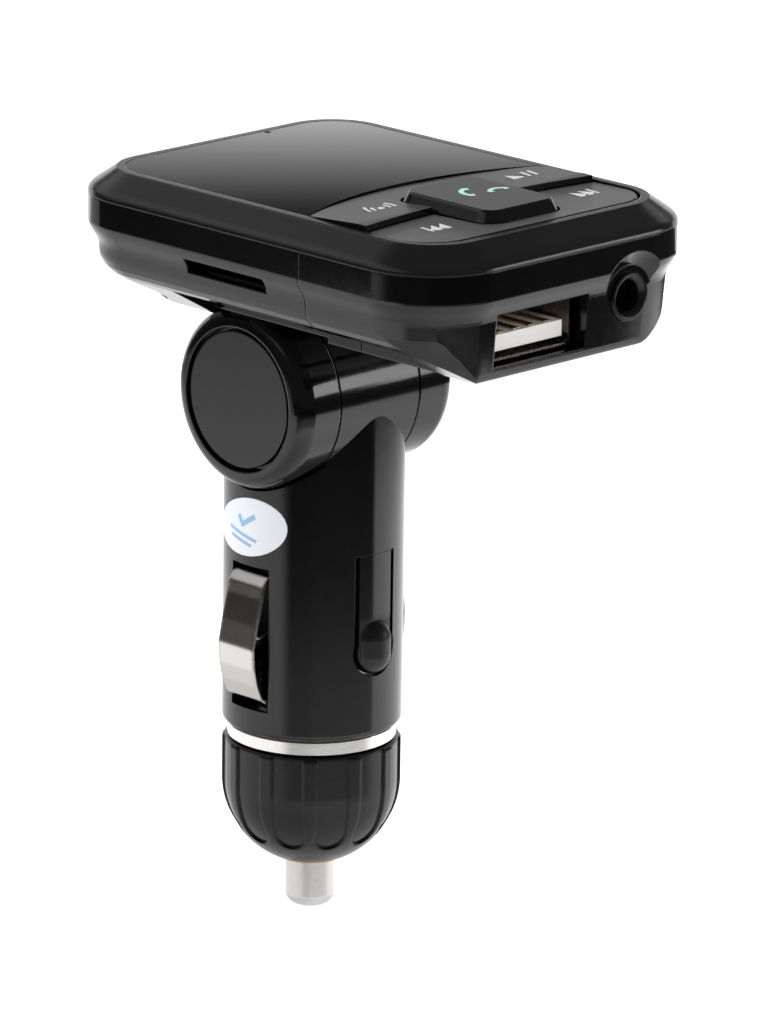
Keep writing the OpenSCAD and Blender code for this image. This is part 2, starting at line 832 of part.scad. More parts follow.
module power_chip() {
  color([0.08, 0.08, 0.08]) block([power_board_t / 2, -power_chip_y - power_chip_w / 2,
      power_chip_z - power_chip_w / 2],
    [power_board_t / 2 + power_chip_t, power_chip_w / 2 - power_chip_y, power_chip_z + power_chip_w / 2]);
}

// a sheathed wire through a list of points
module wire(points) {
  for (i = [0:len(points) - 2]) {
    d = points[i + 1] - points[i];
    translate(points[i]) rotate([0, acos(d[2] / norm(d)), atan2(d[1], d[0])])
        cylinder(r = wire_r, h = norm(d), $fn = 24);
    if (i > 0) translate(points[i]) sphere(r = wire_r, $fn = 24);
  }
}

module supply_wires() {
  color([0.6, 0.05, 0.05]) for (x = [-wire_x, wire_x])
    wire([[x, 0, power_board_top], [x, 0, hinge_z], [x, axle_half - slack, hinge_z]]);
}

module supply_leads() {
  color([0.6, 0.05, 0.05]) for (x = [-wire_x, wire_x])
    wire([[x, axle_half + slack / 2, hinge_z], [x, lead_y, hinge_z], [x, lead_y, board_z]]);
}

module sticker() {
  color([0.95, 0.95, 0.96]) intersection() {
    difference() {
      translate([0, 0, sticker_z - sticker_w]) cylinder(r = plug_r + sticker_t, h = 2 * sticker_w,
          $fn = 360);
      translate([0, 0, sticker_z - 2 * sticker_w]) cylinder(r = plug_r, h = 4 * sticker_w, $fn = 360);
    }
    rotate([0, 0, sticker_turn]) translate([0, 0, sticker_z]) rotate([sticker_tilt, 0, 0])
        rotate([90, 0, 90])
      linear_extrude(plug_d) polygon([for (a = [0:10:350])
        [sticker_w / 2 * cos(a), sticker_h / 2 * sin(a) * (1 + sticker_egg_share * cos(a))]]);
  }
}

module hinge_axle() {
  clip_y = side_in + web_t + washer_t + slack;
  color([0.7, 0.7, 0.7]) difference() {
    hinge_bar(axle_d / 2 - snug, -axle_half, axle_half);
    hinge_bar(axle_bore_d / 2, -axle_half - over, axle_half + over);
    both_sides() difference() {
      hinge_bar(axle_d / 2 + over, clip_y, clip_y + clip_t + slack);
      hinge_bar(axle_d / 2 - clip_groove_depth, clip_y - over, clip_y + clip_t + over);
    }
    block([-wire_slot_x, -wire_slot_y, hinge_z - axle_d], [wire_slot_x, wire_slot_y, hinge_z]);
  }
}

module axle_clips() {
  clip_y = side_in + web_t + washer_t + slack;
  color([0.3, 0.3, 0.3]) both_sides() difference() {
    hinge_bar(clip_r, clip_y + slack / 2, clip_y + slack / 2 + clip_t);
    hinge_bar(axle_d / 2 - clip_groove_depth + snug, clip_y - over, clip_y + clip_t + over);
    block([-clip_r / 3, clip_y - over, hinge_z], [clip_r / 3, clip_y + 2 * over, hinge_z + 2 * clip_r]);
  }
}

module friction_washers() {
  washer_y = side_in + web_t + slack / 2;
  color([0.75, 0.75, 0.75]) both_sides() difference() {
    hinge_bar(washer_r, washer_y, washer_y + washer_t);
    hinge_bar(axle_d / 2 + snug, washer_y - over, washer_y + washer_t + over);
  }
}

// outer form of the head below the seam, without the notches of its underside
module head_outer_form() {
  low_r = tier_r - tier_draft;
  intersection() {
    swept_box(corner_x0, corner_x1, corner_y, concat(
      bend([low_r - lower_round, head_bottom_z], [low_r, head_bottom_z], [low_r,
          head_bottom_z + lower_round]),
      [[tier_r, tier_top_z]],
      [for (s = [0.15:0.15:0.9])
        [tier_r + (crest_r - tier_r) * (1 - cos(180 * s)) / 2, tier_top_z + cove_h * s]],
      [[crest_r, band_low_z], [crest_r, seam_z]]));
    belly(0);
    leaning_corner(0);
  }
}

// space inside the leaning surface of the front corner, moved in by the shell's wall
module leaning_corner(wall) {
  foot_r = tier_r - corner_lean_in - wall;
  side = concat([[foot_r, 0], [foot_r, head_bottom_z]],
    bend([foot_r, head_bottom_z], [tier_r - wall, head_bottom_z + lean_rise], [tier_r - wall, tier_top_z]),
    [[2 * tier_r, tier_top_z], [2 * tier_r, 0]]);
  difference() {
    block([-2 * head_front, -2 * head_front, 0], [2 * head_front, 2 * head_front, rim_z + over]);
    translate([corner_x1, -corner_y, 0]) {
      rotate([0, 0, -90]) rotate_extrude(angle = 45) polygon(side);
      rotate([0, 0, -45]) rotate([90, 0, 0]) translate([0, 0, -2 * tier_r]) linear_extrude(2 * tier_r)
        polygon(side);
    }
  }
}

// space above the rounded slope of the underside, raised by the shell's wall
module belly(raise) {
  low = head_bottom_z + raise;
  swept_box(corner_x0, 2 * head_front, corner_y, concat([[0, low]],
    bend([belly_edge_r, low + belly_edge_rise], [tier_r, low + tier_r * belly_slope_share], [tier_r,
        low + belly_top_rise]),
    [[2 * tier_r, low + belly_top_rise], [2 * tier_r, rim_z]]));
}

// notches beside the hinge, grown by the shell's wall where the hollow keeps clear of them
module notches(grow) {
  block([notch_x0 - grow, -band_far(), 0], [notch_x1 + grow, grow - barrel_half, notch_z + grow]);
  block([notch_x0 - grow, barrel_half - grow, 0], [notch_back_x1 + grow, band_far(), notch_z + grow]);
}

module head_lower_form() {
  difference() {
    head_outer_form();
    notches(0);
    block([notch_x0, -band_far(), 0], [relief_x1, band_far(), head_bottom_z + relief_h]);
  }
}

// the two outer knuckles, solid
module outer_knuckles() {
  both_sides() difference() {
    translate([0, 0, hinge_z]) rotate([-90, 0, 0]) rotate_extrude() difference() {
      translate([0, side_in]) square([barrel_r, barrel_half - side_in]);
      translate([barrel_r - barrel_round, barrel_half - barrel_round]) difference() {
        square(2 * barrel_round);
        circle(r = barrel_round);
      }
    }
    hinge_bar(cap_seat_r, barrel_half - cap_seat_depth, barrel_half + over);
    hinge_bar(cup_r, side_in + web_t, barrel_half);
    hinge_bar(axle_d / 2 + snug, side_in - over, barrel_half);
  }
}

// rear and front lower shells in one, with the hollow, sockets and bosses
module head_lower() {
  difference() {
    union() {
      difference() {
        head_lower_form();
        difference() {
          intersection() {
            swept_box(corner_x0, corner_x1, corner_y, [
              [tier_r - head_wall - tier_draft, head_bottom_z],
              [tier_r - head_wall, tier_top_z],
              [crest_r - head_wall, band_low_z],
              [crest_r - head_wall, seam_z + over]]);
            belly(head_wall);
            leaning_corner(head_wall);
          }
          notches(head_wall);
        }
      }
      intersection() {
        block([-pad_half_x, -barrel_half, head_bottom_z], [pad_half_x, barrel_half, head_bottom_z + pad_h]);
        head_lower_form();
      }
      intersection() {
        head_lower_form();
        for (x = [head_screw_x0, head_screw_x1], y = [-head_screw_y, head_screw_y])
          translate([x, y, head_bottom_z]) cylinder(r = head_boss_r, h = head_boss_top - head_bottom_z);
      }
    }
    hinge_bar(saddle_r, -side_in, side_in);
    for (x = [head_screw_x0, head_screw_x1], y = [-head_screw_y, head_screw_y])
        translate([x, y, head_bottom_z - over]) {
      cylinder(r = screw_head_r + slack, h = head_screw_z - head_bottom_z + over);
      cylinder(r = screw_r + slack, h = rim_z - head_bottom_z);
    }
    usb_opening();
    usb_room();
    aux_opening();
    card_opening();
  }
}

module usb_opening() {
  z0 = usb_z - usb_window_h / 2;
  z1 = usb_z + usb_window_h / 2;
  y0 = usb_y - usb_window_w / 2;
  y1 = usb_y + usb_window_w / 2;
  block([corner_x1, y0, z0], [band_x + over, y1, z1]);
}

// room for the USB socket behind its window
module usb_room() {
  block([usb_front_x - usb_len - slack, usb_y - usb_w / 2 - slack, usb_z - usb_h / 2 - slack],
    [usb_front_x, usb_y + usb_w / 2 + slack, seam_z + over]);
}

module aux_opening() {
  slope = crest_out - tier_out;
  translate([front_x, aux_y, aux_z]) rotate([0, 90, 0]) {
    cylinder(r1 = aux_recess_r, r2 = aux_arch_r, h = slope);
    translate([0, 0, slope]) cylinder(r = aux_arch_r, h = over);
    translate([0, 0, -2 * head_wall]) cylinder(r = aux_collar_r + snug, h = 2 * head_wall + slope);
  }
}

module card_opening() {
  block([card_x - card_slot_w / 2, -band_far(), card_z - card_slot_h / 2], [card_x + card_slot_w / 2,
      -corner_y, card_z + card_slot_h / 2]);
}

// beyond the head's widest side
function band_far() = head_half_w + crest_out + over;

module head_shell_rear() {
  color([0.05, 0.05, 0.055]) difference() {
    union() {
      difference() {
        head_lower();
        block([shell_seam_x - seam_gap / 2, -band_far(), 0], [2 * head_front, band_far(), rim_z]);
      }
      outer_knuckles();
    }
    block([-wire_slot_x, lead_y - wire_slot_y, hinge_z], [wire_slot_x, lead_y + wire_slot_y, board_z]);
  }
}

module head_shell_front() {
  color([0.05, 0.05, 0.055]) difference() {
    head_lower();
    block([-2 * head_front, -band_far(), 0], [shell_seam_x + seam_gap / 2, band_far(), rim_z]);
  }
}

module hinge_cap() {
  hinge_bar(end_cap_d / 2, barrel_half - cap_sink - cap_t, barrel_half - cap_sink);
  hinge_bar(cap_seat_r - snug, barrel_half - cap_seat_depth, barrel_half - cap_sink - cap_t);
}

module hinge_cap_left() {
  color([0.07, 0.07, 0.075]) mirror([0, 1, 0]) hinge_cap();
}

module hinge_cap_right() {
  color([0.07, 0.07, 0.075]) hinge_cap();
}

// plan of the display lens, and of what lies on its side of a curved line
module behind_arc(r, x, z0, z1) {
  difference() {
    block([-2 * head_front, -band_far(), z0], [r + x, band_far(), z1]);
    translate([r + x, 0, z0 - over]) cylinder(r = r, h = z1 - z0 + 2 * over, $fn = 240);
  }
}

module head_top_frame() {
  boss_z = board_top + slack;
  bevel = [rim_corner_r + rim_edge - crest_r, rim_z - crest_edge - crest_z];
  color([0.055, 0.055, 0.06]) difference() {
    union() {
      difference() {
        swept_box(corner_x0, corner_x1, corner_y, concat([[crest_r, seam_z]],
          bend([crest_r, crest_z - crest_low], [crest_r, crest_z], [crest_r,
              crest_z] + crest_round * bevel / norm(bevel)),
          [[rim_corner_r + rim_edge, rim_z - crest_edge], [rim_corner_r, rim_z]]));
        head_slab(-border, rim_z - lens_t, rim_z + over);
        head_slab(-border - ledge_w, seam_z - over, rim_z);
        intersection() {
          head_slab(-border, deck_z + deck_t, rim_z);
          block([deck_x0 + back_edge, -band_far(), deck_z], [2 * head_front, band_far(), rim_z]);
        }
        // hollow under the bevel
        swept_box(corner_x0, corner_x1, corner_y, [
          [crest_r - head_wall - lip_t - lip_gap, seam_z - over],
          [crest_r - head_wall - lip_t - lip_gap, seam_z],
          [pocket_r, lens_z - ledge_t - crest_edge],
          [pocket_r, lens_z - ledge_t]]);
      }
      // deck under the keys and its ledge beside the lens
      intersection() {
        union() {
          block([deck_x0, -band_far(), deck_z], [2 * head_front, band_far(), deck_z + deck_t]);
          block([deck_x0, -band_far(), deck_z], [deck_x0 + back_edge, band_far(), lens_z]);
        }
        head_slab(-border - slack, deck_z, lens_z);
      }
      // lip that drops inside the lower shells
      difference() {
        head_slab(crest_out - head_wall - lip_gap, seam_z - lip_h, seam_z);
        head_slab(crest_out - head_wall - lip_gap - lip_t, seam_z - lip_h - over, seam_z + over);
      }
      for (x = [head_screw_x0, head_screw_x1], y = [-head_screw_y, head_screw_y]) translate([x, y, boss_z])
        cylinder(r = head_boss_r, h = (x > lens_arc_x ? deck_z + deck_t / 2 : lens_z) - boss_z);
      for (p = [[back_fulcrum_x, 0], [front_fulcrum_x, 0]])
        translate([p[0] - fulcrum_len / 2, p[1], key_base_z - snug - fulcrum_r]) rotate([0, 90, 0])
            cylinder(r = fulcrum_r, h = fulcrum_len);
    }
    for (x = [head_screw_x0, head_screw_x1], y = [-head_screw_y, head_screw_y])
        translate([x, y, boss_z - over])
      cylinder(r = screw_r, h = over + head_screw_z + head_screw_len + slack - boss_z);
    translate([mic_x + mic_shift(), mic_y, deck_z]) cylinder(r = mic_r + boot_wall + slack,
        h = lens_z - deck_z + over);
    for (p = key_stems()) translate([p[0], p[1], deck_z - over])
        cylinder(r = stem_r + key_gap, h = deck_t + 2 * over);
    for (p = [[back_fulcrum_x, 0], [front_fulcrum_x, 0]])
      block([p[0] - fulcrum_len, -fulcrum_len, seam_z - 2 * lip_h], [p[0] + fulcrum_len, fulcrum_len,
          deck_z]);
  }
}

// centres of the key stems
function key_stems() = [[call_x, 0], [back_stem_x, -bar_stem_y], [back_stem_x, bar_stem_y],
  [front_stem_x, -bar_stem_y], [front_stem_x, bar_stem_y]];

module display_lens() {
  color([0.03, 0.03, 0.035]) difference() {
    intersection() {
      swept_box(corner_x0, corner_x1, corner_y, [[pocket_r - snug, lens_z], [pocket_r - snug,
          rim_z - slack],
        [pocket_r - snug - slack, rim_z]]);
      behind_arc(lens_arc_r, lens_arc_x, lens_z - over, rim_z + over);
    }
    translate([mic_x, mic_y, lens_z - over]) cylinder(r = mic_hole_r, h = lens_t + 2 * over);
  }
}

module display_module() {
  top = lens_z - slack;
  color([0.2, 0.2, 0.22]) difference() {
    block([module_x0, -module_half, top - module_t], [module_x1, module_half, top]);
    block([module_x0 + window_r, window_r - module_half, top - slack], [module_x1 - window_r,
        module_half - window_r, top + over]);
  }
}

module display_cable() {
  top = lens_z - slack - module_t / 2;
  x = module_x0 - 2 * cable_t;
  color([0.7, 0.45, 0.15]) {
    block([x, -cable_w / 2, top - cable_t], [module_x0, cable_w / 2, top]);
    block([x, -cable_w / 2, board_top], [x + cable_t, cable_w / 2, top]);
    block([x, -cable_w / 2, board_top], [x + cable_w / 3, cable_w / 2, board_top + cable_t]);
  }
}

module main_board() {
  color([0.1, 0.35, 0.15]) difference() {
    head_slab(-board_inset, board_z, board_top);
    for (x = [head_screw_x0, head_screw_x1], y = [-head_screw_y, head_screw_y])
        translate([x, y, board_z - over])
      cylinder(r = screw_r + slack, h = board_t + 2 * over);
  }
}

module radio_chips() {
  color([0.08, 0.08, 0.08]) {
    block([chip_x - chip_w / 2, chip_y - chip_w / 2, board_top], [chip_x + chip_w / 2, chip_y + chip_w / 2,
        board_top + chip_t]);
    block([small_chip_x - small_chip_w / 2, small_chip_y - small_chip_w / 2, board_top],
      [small_chip_x + small_chip_w / 2, small_chip_y + small_chip_w / 2, board_top + chip_t]);
  }
}

module crystal() {
  color([0.75, 0.75, 0.75]) {
    block([crystal_x - crystal_w / 2, crystal_y - crystal_len / 2, board_top],
      [crystal_x + crystal_w / 2, crystal_y + crystal_len / 2, board_top + chip_t]);
    for (y = [crystal_y - crystal_len / 2, crystal_y + crystal_len / 2])
      translate([crystal_x, y, board_top]) cylinder(r = crystal_w / 2, h = chip_t);
  }
}

module tact_switches() {
  color([0.7, 0.7, 0.7]) for (p = key_stems()) translate([p[0], p[1], board_top]) {
    translate([-switch_w / 2, -switch_w / 2, 0]) cube([switch_w, switch_w, switch_h]);
    cylinder(r = switch_cap_r, h = switch_h + switch_cap_h);
  }
}

module microphone() {
  color([0.75, 0.75, 0.75]) translate([mic_x + mic_shift(), mic_y, lens_z - mic_h - slack])
      cylinder(r = mic_r, h = mic_h);
}

// the capsule sits a little further in than its hole, clear of the frame's ledge
function mic_shift() = mic_r / 2;

module microphone_boot() {
  color([0.1, 0.1, 0.1]) translate([mic_x + mic_shift(), mic_y, lens_z - mic_h - slack]) difference() {
    translate([0, 0, -boot_wall]) cylinder(r = mic_r + boot_wall, h = mic_h + boot_wall);
    cylinder(r = mic_r + snug, h = mic_h + over);
  }
}

module card_reader() {
  z0 = card_z - card_slot_h / 2 - slack;
  front_y = slack + head_wall - side_y;
  color([0.75, 0.73, 0.7]) difference() {
    block([card_x - reader_w / 2, front_y, z0], [card_x + reader_w / 2, front_y + reader_len, board_z]);
    block([card_x - reader_w / 2 + 2 * reader_metal, front_y - over, z0 + reader_metal],
      [card_x + reader_w / 2 - 2 * reader_metal, front_y + reader_len - 2 * reader_metal,
          board_z - reader_metal]);
  }
}

module usb_shell() {
  back = usb_front_x - usb_len;
  color([0.78, 0.75, 0.7]) {
    difference() {
      block([back, usb_y - usb_w / 2, usb_z - usb_h / 2], [usb_front_x, usb_y + usb_w / 2,
          usb_z + usb_h / 2]);
      block([back + usb_metal, usb_y - usb_w / 2 + usb_metal, usb_z - usb_h / 2 + usb_metal],
        [usb_front_x + over, usb_y + usb_w / 2 - usb_metal, usb_z + usb_h / 2 - usb_metal]);
    }
    for (x = [back + usb_len / 4, back + 3 * usb_len / 4], y = [usb_y - usb_w / 2,
        usb_y + usb_w / 2 - usb_metal])
      block([x, y, usb_z], [x + usb_leg_w, y + usb_metal, board_z]);
  }
}

module usb_tongue() {
  back = usb_front_x - usb_len + usb_metal;
  low = usb_z - usb_h / 2 + usb_metal + usb_tongue_lift;
  color([0.95, 0.95, 0.95]) {
    block([back, usb_y - usb_tongue_w / 2, low], [usb_front_x - usb_tongue_sink, usb_y + usb_tongue_w / 2,
        low + usb_tongue_t]);
    block([back, usb_y - usb_w / 2 + usb_metal, usb_z - usb_h / 2 + usb_metal],
      [back + usb_tongue_back, usb_y + usb_w / 2 - usb_metal, usb_z + usb_h / 2 - usb_metal]);
  }
}

module usb_contacts() {
  back = usb_front_x - usb_len + usb_metal + usb_tongue_back;
  top = usb_z - usb_h / 2 + usb_metal + usb_tongue_lift + usb_tongue_t;
  color([0.85, 0.7, 0.35]) for (s = usb_contact_share)
    block([back, usb_y + s * usb_contact_gap - usb_contact_w / 2, top],
      [usb_front_x - 2 * usb_tongue_sink, usb_y + s * usb_contact_gap + usb_contact_w / 2,
          top + usb_contact_t]);
}

module aux_socket() {
  x1 = inner_front_x;
  color([0.08, 0.08, 0.08]) difference() {
    block([x1 - aux_body_len, aux_y - aux_body_w / 2, aux_z - aux_body_w / 2], [x1, aux_y + aux_body_w / 2,
        board_z]);
    translate([front_x + over, aux_y, aux_z]) rotate([0, -90, 0])
        cylinder(r = aux_bore_d / 2, h = aux_hole_depth + over);
  }
}

module aux_collar() {
  collar_len = front_x - inner_front_x + aux_collar_out;
  color([0.25, 0.25, 0.27]) translate([inner_front_x, aux_y, aux_z]) rotate([0, 90, 0]) difference() {
    cylinder(r = aux_collar_r, h = collar_len);
    translate([0, 0, -over]) cylinder(r = aux_bore_d / 2, h = collar_len + 2 * over);
    translate([0, 0, collar_len - aux_mouth_depth]) cylinder(r1 = aux_bore_d / 2, r2 = aux_mouth_r,
        h = aux_mouth_depth);
  }
}

module head_screws() {
  color([0.7, 0.7, 0.7]) for (x = [head_screw_x0, head_screw_x1], y = [-head_screw_y, head_screw_y])
    translate([x, y, head_screw_z]) difference() {
      union() {
        translate([0, 0, -screw_head_h]) cylinder(r = screw_head_r, h = screw_head_h);
        cylinder(r = screw_r - snug, h = head_screw_len);
      }
      cross_slot(screw_head_r, -screw_head_h);
    }
}

// call key: a pillow with bevelled sides, its foot and its stem
module call_key() {
  r = call_corner_r;
  hx = call_len / 2 - r;
  hy = call_w / 2 - r;
  color([0.12, 0.12, 0.125]) translate([call_x, 0, 0]) {
    swept_box(-hx, hx, hy, [[r, key_base_z], [r, call_side_z], [r - call_bevel + key_edge,
        call_top_z - key_edge],
      [r - call_bevel, call_top_z]]);
    translate([0, 0, switch_top + stem_gap]) cylinder(r = stem_r, h = key_base_z - switch_top);
  }
}

// plan of the well that the key bars fill
module key_field(z0, z1) {
  swept_box(corner_x0, corner_x1, corner_y, [[pocket_r - key_gap, z0], [pocket_r - key_gap, z1 - key_edge],
    [pocket_r - key_gap - key_edge, z1]]);
}

module call_well() {
  r = call_corner_r + key_gap;
  translate([call_x, 0, 0]) swept_box(call_corner_r - call_len / 2, call_len / 2 - call_corner_r,
      call_w / 2 - call_corner_r,
    [[r, key_base_z - over], [r, call_top_z + over]]);
}

// stems under both ends of a bar
module bar_stems(x) {
  for (y = [-bar_stem_y, bar_stem_y])
    translate([x, y, switch_top + stem_gap]) cylinder(r = stem_r, h = key_base_z - switch_top);
}

module back_key_bar() {
  low_x = lens_arc_x + key_gap;
  color([0.12, 0.12, 0.125]) {
    difference() {
      intersection() {
        key_field(key_base_z, rim_z + bar_rise + key_edge);
        behind_arc(bar_arc_r, bar_arc_x, key_base_z - over, call_top_z);
        // top rises from the lens towards the front edge
        translate([0, band_far(), 0]) rotate([90, 0, 0]) linear_extrude(2 * band_far())
          polygon([[0, key_base_z - over], [low_x, rim_z - bar_dip], [bar_arc_x, rim_z + bar_rise],
            [head_front, rim_z + bar_rise], [head_front, key_base_z - over]]);
      }
      behind_arc(lens_arc_r - key_gap, lens_arc_x + key_gap, key_base_z - 2 * over, call_top_z + over);
      call_well();
    }
    bar_stems(back_stem_x);
  }
}

module front_key_bar() {
  front_x = corner_x1 + pocket_r;
  color([0.12, 0.12, 0.125]) {
    difference() {
      intersection() {
        key_field(key_base_z, rim_z);
        // top falls from the front edge towards the back bar
        translate([0, band_far(), 0]) rotate([90, 0, 0]) linear_extrude(2 * band_far())
          polygon([[0, key_base_z - over], [0, rim_z - front_x * tan(front_bar_lean)],
            [front_x, rim_z], [front_x, key_base_z - over]]);
      }
      behind_arc(bar_arc_r - key_gap, bar_arc_x + key_gap, key_base_z - over, rim_z + over);
      call_well();
    }
    bar_stems(front_stem_x);
  }
}

plug_shell_front();
plug_shell_rear();
plug_screw();
nose_ring();
nose_cap();
pin_bush();
contact_pin();
pin_spring();
fuse_glass();
fuse_caps();
fuse_wire();
spring_seat();
ground_spring_left();
ground_spring_right();
ground_straps();
retention_tongue_front();
retention_tongue_rear();
power_board();
power_coil();
power_capacitors();
power_chip();
supply_wires();
sticker();
hinge_axle();
axle_clips();
friction_washers();
head_shell_rear();
head_shell_front();
head_top_frame();
hinge_cap_left();
hinge_cap_right();
display_lens();
display_module();
display_cable();
main_board();
radio_chips();
crystal();
tact_switches();
microphone();
microphone_boot();
card_reader();
usb_shell();
usb_tongue();
usb_contacts();
aux_socket();
aux_collar();
head_screws();
supply_leads();
call_key();
back_key_bar();
front_key_bar();
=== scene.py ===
import math
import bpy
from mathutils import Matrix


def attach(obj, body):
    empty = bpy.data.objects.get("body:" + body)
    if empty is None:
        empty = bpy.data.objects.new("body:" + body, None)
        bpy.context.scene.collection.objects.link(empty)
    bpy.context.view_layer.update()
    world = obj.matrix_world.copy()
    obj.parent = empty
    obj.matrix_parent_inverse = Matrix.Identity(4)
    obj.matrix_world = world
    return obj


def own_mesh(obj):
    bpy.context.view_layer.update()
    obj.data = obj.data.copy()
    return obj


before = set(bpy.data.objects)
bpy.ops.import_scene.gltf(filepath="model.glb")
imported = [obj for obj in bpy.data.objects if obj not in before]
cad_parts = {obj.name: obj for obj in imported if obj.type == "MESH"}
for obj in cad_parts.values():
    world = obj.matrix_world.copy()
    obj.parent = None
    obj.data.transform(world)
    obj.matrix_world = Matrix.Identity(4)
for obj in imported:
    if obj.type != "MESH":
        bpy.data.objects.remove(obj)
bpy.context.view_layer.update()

from types import SimpleNamespace

import bmesh
import bpy
from mathutils import Matrix, Vector

MM = 0.001


def mm(*values):
    return Vector([v * MM for v in values])


def turned(x, y, angle):
    """The point x, y turned about zero, anticlockwise, by an angle in degrees."""
    a = math.radians(angle)
    return (x * math.cos(a) - y * math.sin(a), x * math.sin(a) + y * math.cos(a))


def add_mesh(name, mesh, material):
    """A scene object made of a bmesh, which it frees."""
    data = bpy.data.meshes.new(name)
    mesh.to_mesh(data)
    mesh.free()
    data.materials.append(material)
    piece = bpy.data.objects.new(name, data)
    bpy.context.scene.collection.objects.link(piece)
    return piece


# Camera: the photograph's viewing angle, in degrees, with places in metres and the lens in millimetres

VIEW_AZIMUTH = 45.0
VIEW_ELEVATION = 16.09
VIEW_ROLL = 0.80
VIEW_DISTANCE = 0.8394
LOOK_AT = mm(5.65, 5.65, 47.03)
LENS = 258.5
SENSOR_HEIGHT = 36
CLIP_END = 20


def view_axes():
    az, el, roll = (math.radians(v) for v in (VIEW_AZIMUTH, VIEW_ELEVATION, VIEW_ROLL))
    back = Vector((math.sin(az) * math.cos(el), -math.cos(az) * math.cos(el), math.sin(el)))
    level = Vector((math.cos(az), math.sin(az), 0))
    upright = back.cross(level)
    right = level * math.cos(roll) + upright * math.sin(roll)
    up = upright * math.cos(roll) - level * math.sin(roll)
    return right, up, back


def add_camera():
    data = bpy.data.cameras.new("camera")
    data.sensor_fit = "VERTICAL"
    data.sensor_height = SENSOR_HEIGHT
    data.lens = LENS
    data.clip_end = CLIP_END
    camera = bpy.data.objects.new("camera", data)
    bpy.context.scene.collection.objects.link(camera)
    axes = view_axes()
    turn = Matrix(axes).transposed().to_4x4()
    camera.matrix_world = Matrix.Translation(LOOK_AT + axes[2] * VIEW_DISTANCE) @ turn
    bpy.context.scene.camera = camera


# Materials

BROAD_SCALE = 60
GRAIN_HEIGHT = 0.00002
COAT_ROUGHNESS = 0.04
COLOUR_STOPS = (0.3, 0.7)
FLANK_FACING = (0.8, 0.98)
BLUE_TRACE = 1.03
GLASS_TRANSMISSION = 0.9
INK_LIGHTER = 1.12


def new_material(name):
    material = bpy.data.materials.new(name)
    material.use_nodes = True
    tree = material.node_tree
    return material, tree, tree.nodes["Principled BSDF"]


def add_node(tree, kind, **values):
    """A new node with settings and inputs by name, where an underscore in an input's name is a space."""
    node = tree.nodes.new(kind)
    for key, value in values.items():
        if hasattr(node, key):
            setattr(node, key, value)
        else:
            node.inputs[key.replace("_", " ")].default_value = value
    return node


def noise(tree, scale, detail=3):
    coords = add_node(tree, "ShaderNodeTexCoord")
    texture = add_node(tree, "ShaderNodeTexNoise", Scale=scale, Detail=detail)
    tree.links.new(coords.outputs["Object"], texture.inputs["Vector"])
    return texture


def two_colours(tree, factor, dark, light):
    ramp = add_node(tree, "ShaderNodeValToRGB")
    for element, colour, stop in zip(ramp.color_ramp.elements, (dark, light), COLOUR_STOPS):
        element.color = (*colour, 1)
        element.position = stop
    tree.links.new(factor, ramp.inputs["Fac"])
    return ramp.outputs["Color"]


def scaled_on_flanks(tree, socket, flanks):
    """The full value on faces that point up on the piece, and a share of it on its flanks."""
    coords = add_node(tree, "ShaderNodeTexCoord")
    split = add_node(tree, "ShaderNodeSeparateXYZ")
    low, high = FLANK_FACING
    share = add_node(tree, "ShaderNodeMapRange", From_Min=low, From_Max=high, To_Min=flanks, To_Max=1.0)
    scaled = add_node(tree, "ShaderNodeVectorMath", operation="SCALE")
    tree.links.new(coords.outputs["Normal"], split.inputs["Vector"])
    tree.links.new(split.outputs["Z"], share.inputs["Value"])
    tree.links.new(socket, scaled.inputs["Vector"])
    tree.links.new(share.outputs["Result"], scaled.inputs["Scale"])
    return scaled.outputs["Vector"]


def moulded(name, colours, rough, grain, edge, specular=0.5, coat=0.0, metal=0.0, flanks=None):
    """Moulded or plated surface: slight colour and gloss variation, fine grain, softened edges.

    colours are a dark and a light one, rough is the middle roughness and its spread, grain its
    strength and scale, and edge the rounding of the edges in millimetres. The flanks may be smoother
    than the top, and darker as painted shade, by a share of its colour and one of its roughness."""
    material, tree, shader = new_material(name)
    broad = noise(tree, BROAD_SCALE)
    colour = two_colours(tree, broad.outputs["Fac"], *colours)
    # Painted shade: on faces that don't point up, the colour is cut to a share of itself.
    if flanks:
        colour = scaled_on_flanks(tree, colour, flanks[0])
    tree.links.new(colour, shader.inputs["Base Color"])
    fine = noise(tree, grain[1], detail=5)
    spread = add_node(tree, "ShaderNodeMapRange", To_Min=rough[0] - rough[1], To_Max=rough[0] + rough[1])
    tree.links.new(fine.outputs["Fac"], spread.inputs["Value"])
    roughness = spread.outputs["Result"]
    if flanks:
        roughness = scaled_on_flanks(tree, roughness, flanks[1])
    tree.links.new(roughness, shader.inputs["Roughness"])
    bump = add_node(tree, "ShaderNodeBump", Strength=grain[0], Distance=GRAIN_HEIGHT)
    tree.links.new(fine.outputs["Fac"], bump.inputs["Height"])
    if edge:
        bevel = add_node(tree, "ShaderNodeBevel", samples=6, Radius=edge * MM)
        tree.links.new(bevel.outputs["Normal"], bump.inputs["Normal"])
    tree.links.new(bump.outputs["Normal"], shader.inputs["Normal"])
    shader.inputs["Specular IOR Level"].default_value = specular
    shader.inputs["Metallic"].default_value = metal
    if coat:
        shader.inputs["Coat Weight"].default_value = coat
        shader.inputs["Coat Roughness"].default_value = COAT_ROUGHNESS
    return material


def greys(dark, light):
    """Two greys with a trace of blue."""
    return [(level, level, level * BLUE_TRACE) for level in (dark, light)]


BLACK = greys(0.002, 0.004)
NICKEL = ((0.6, 0.58, 0.555), (0.67, 0.65, 0.62))

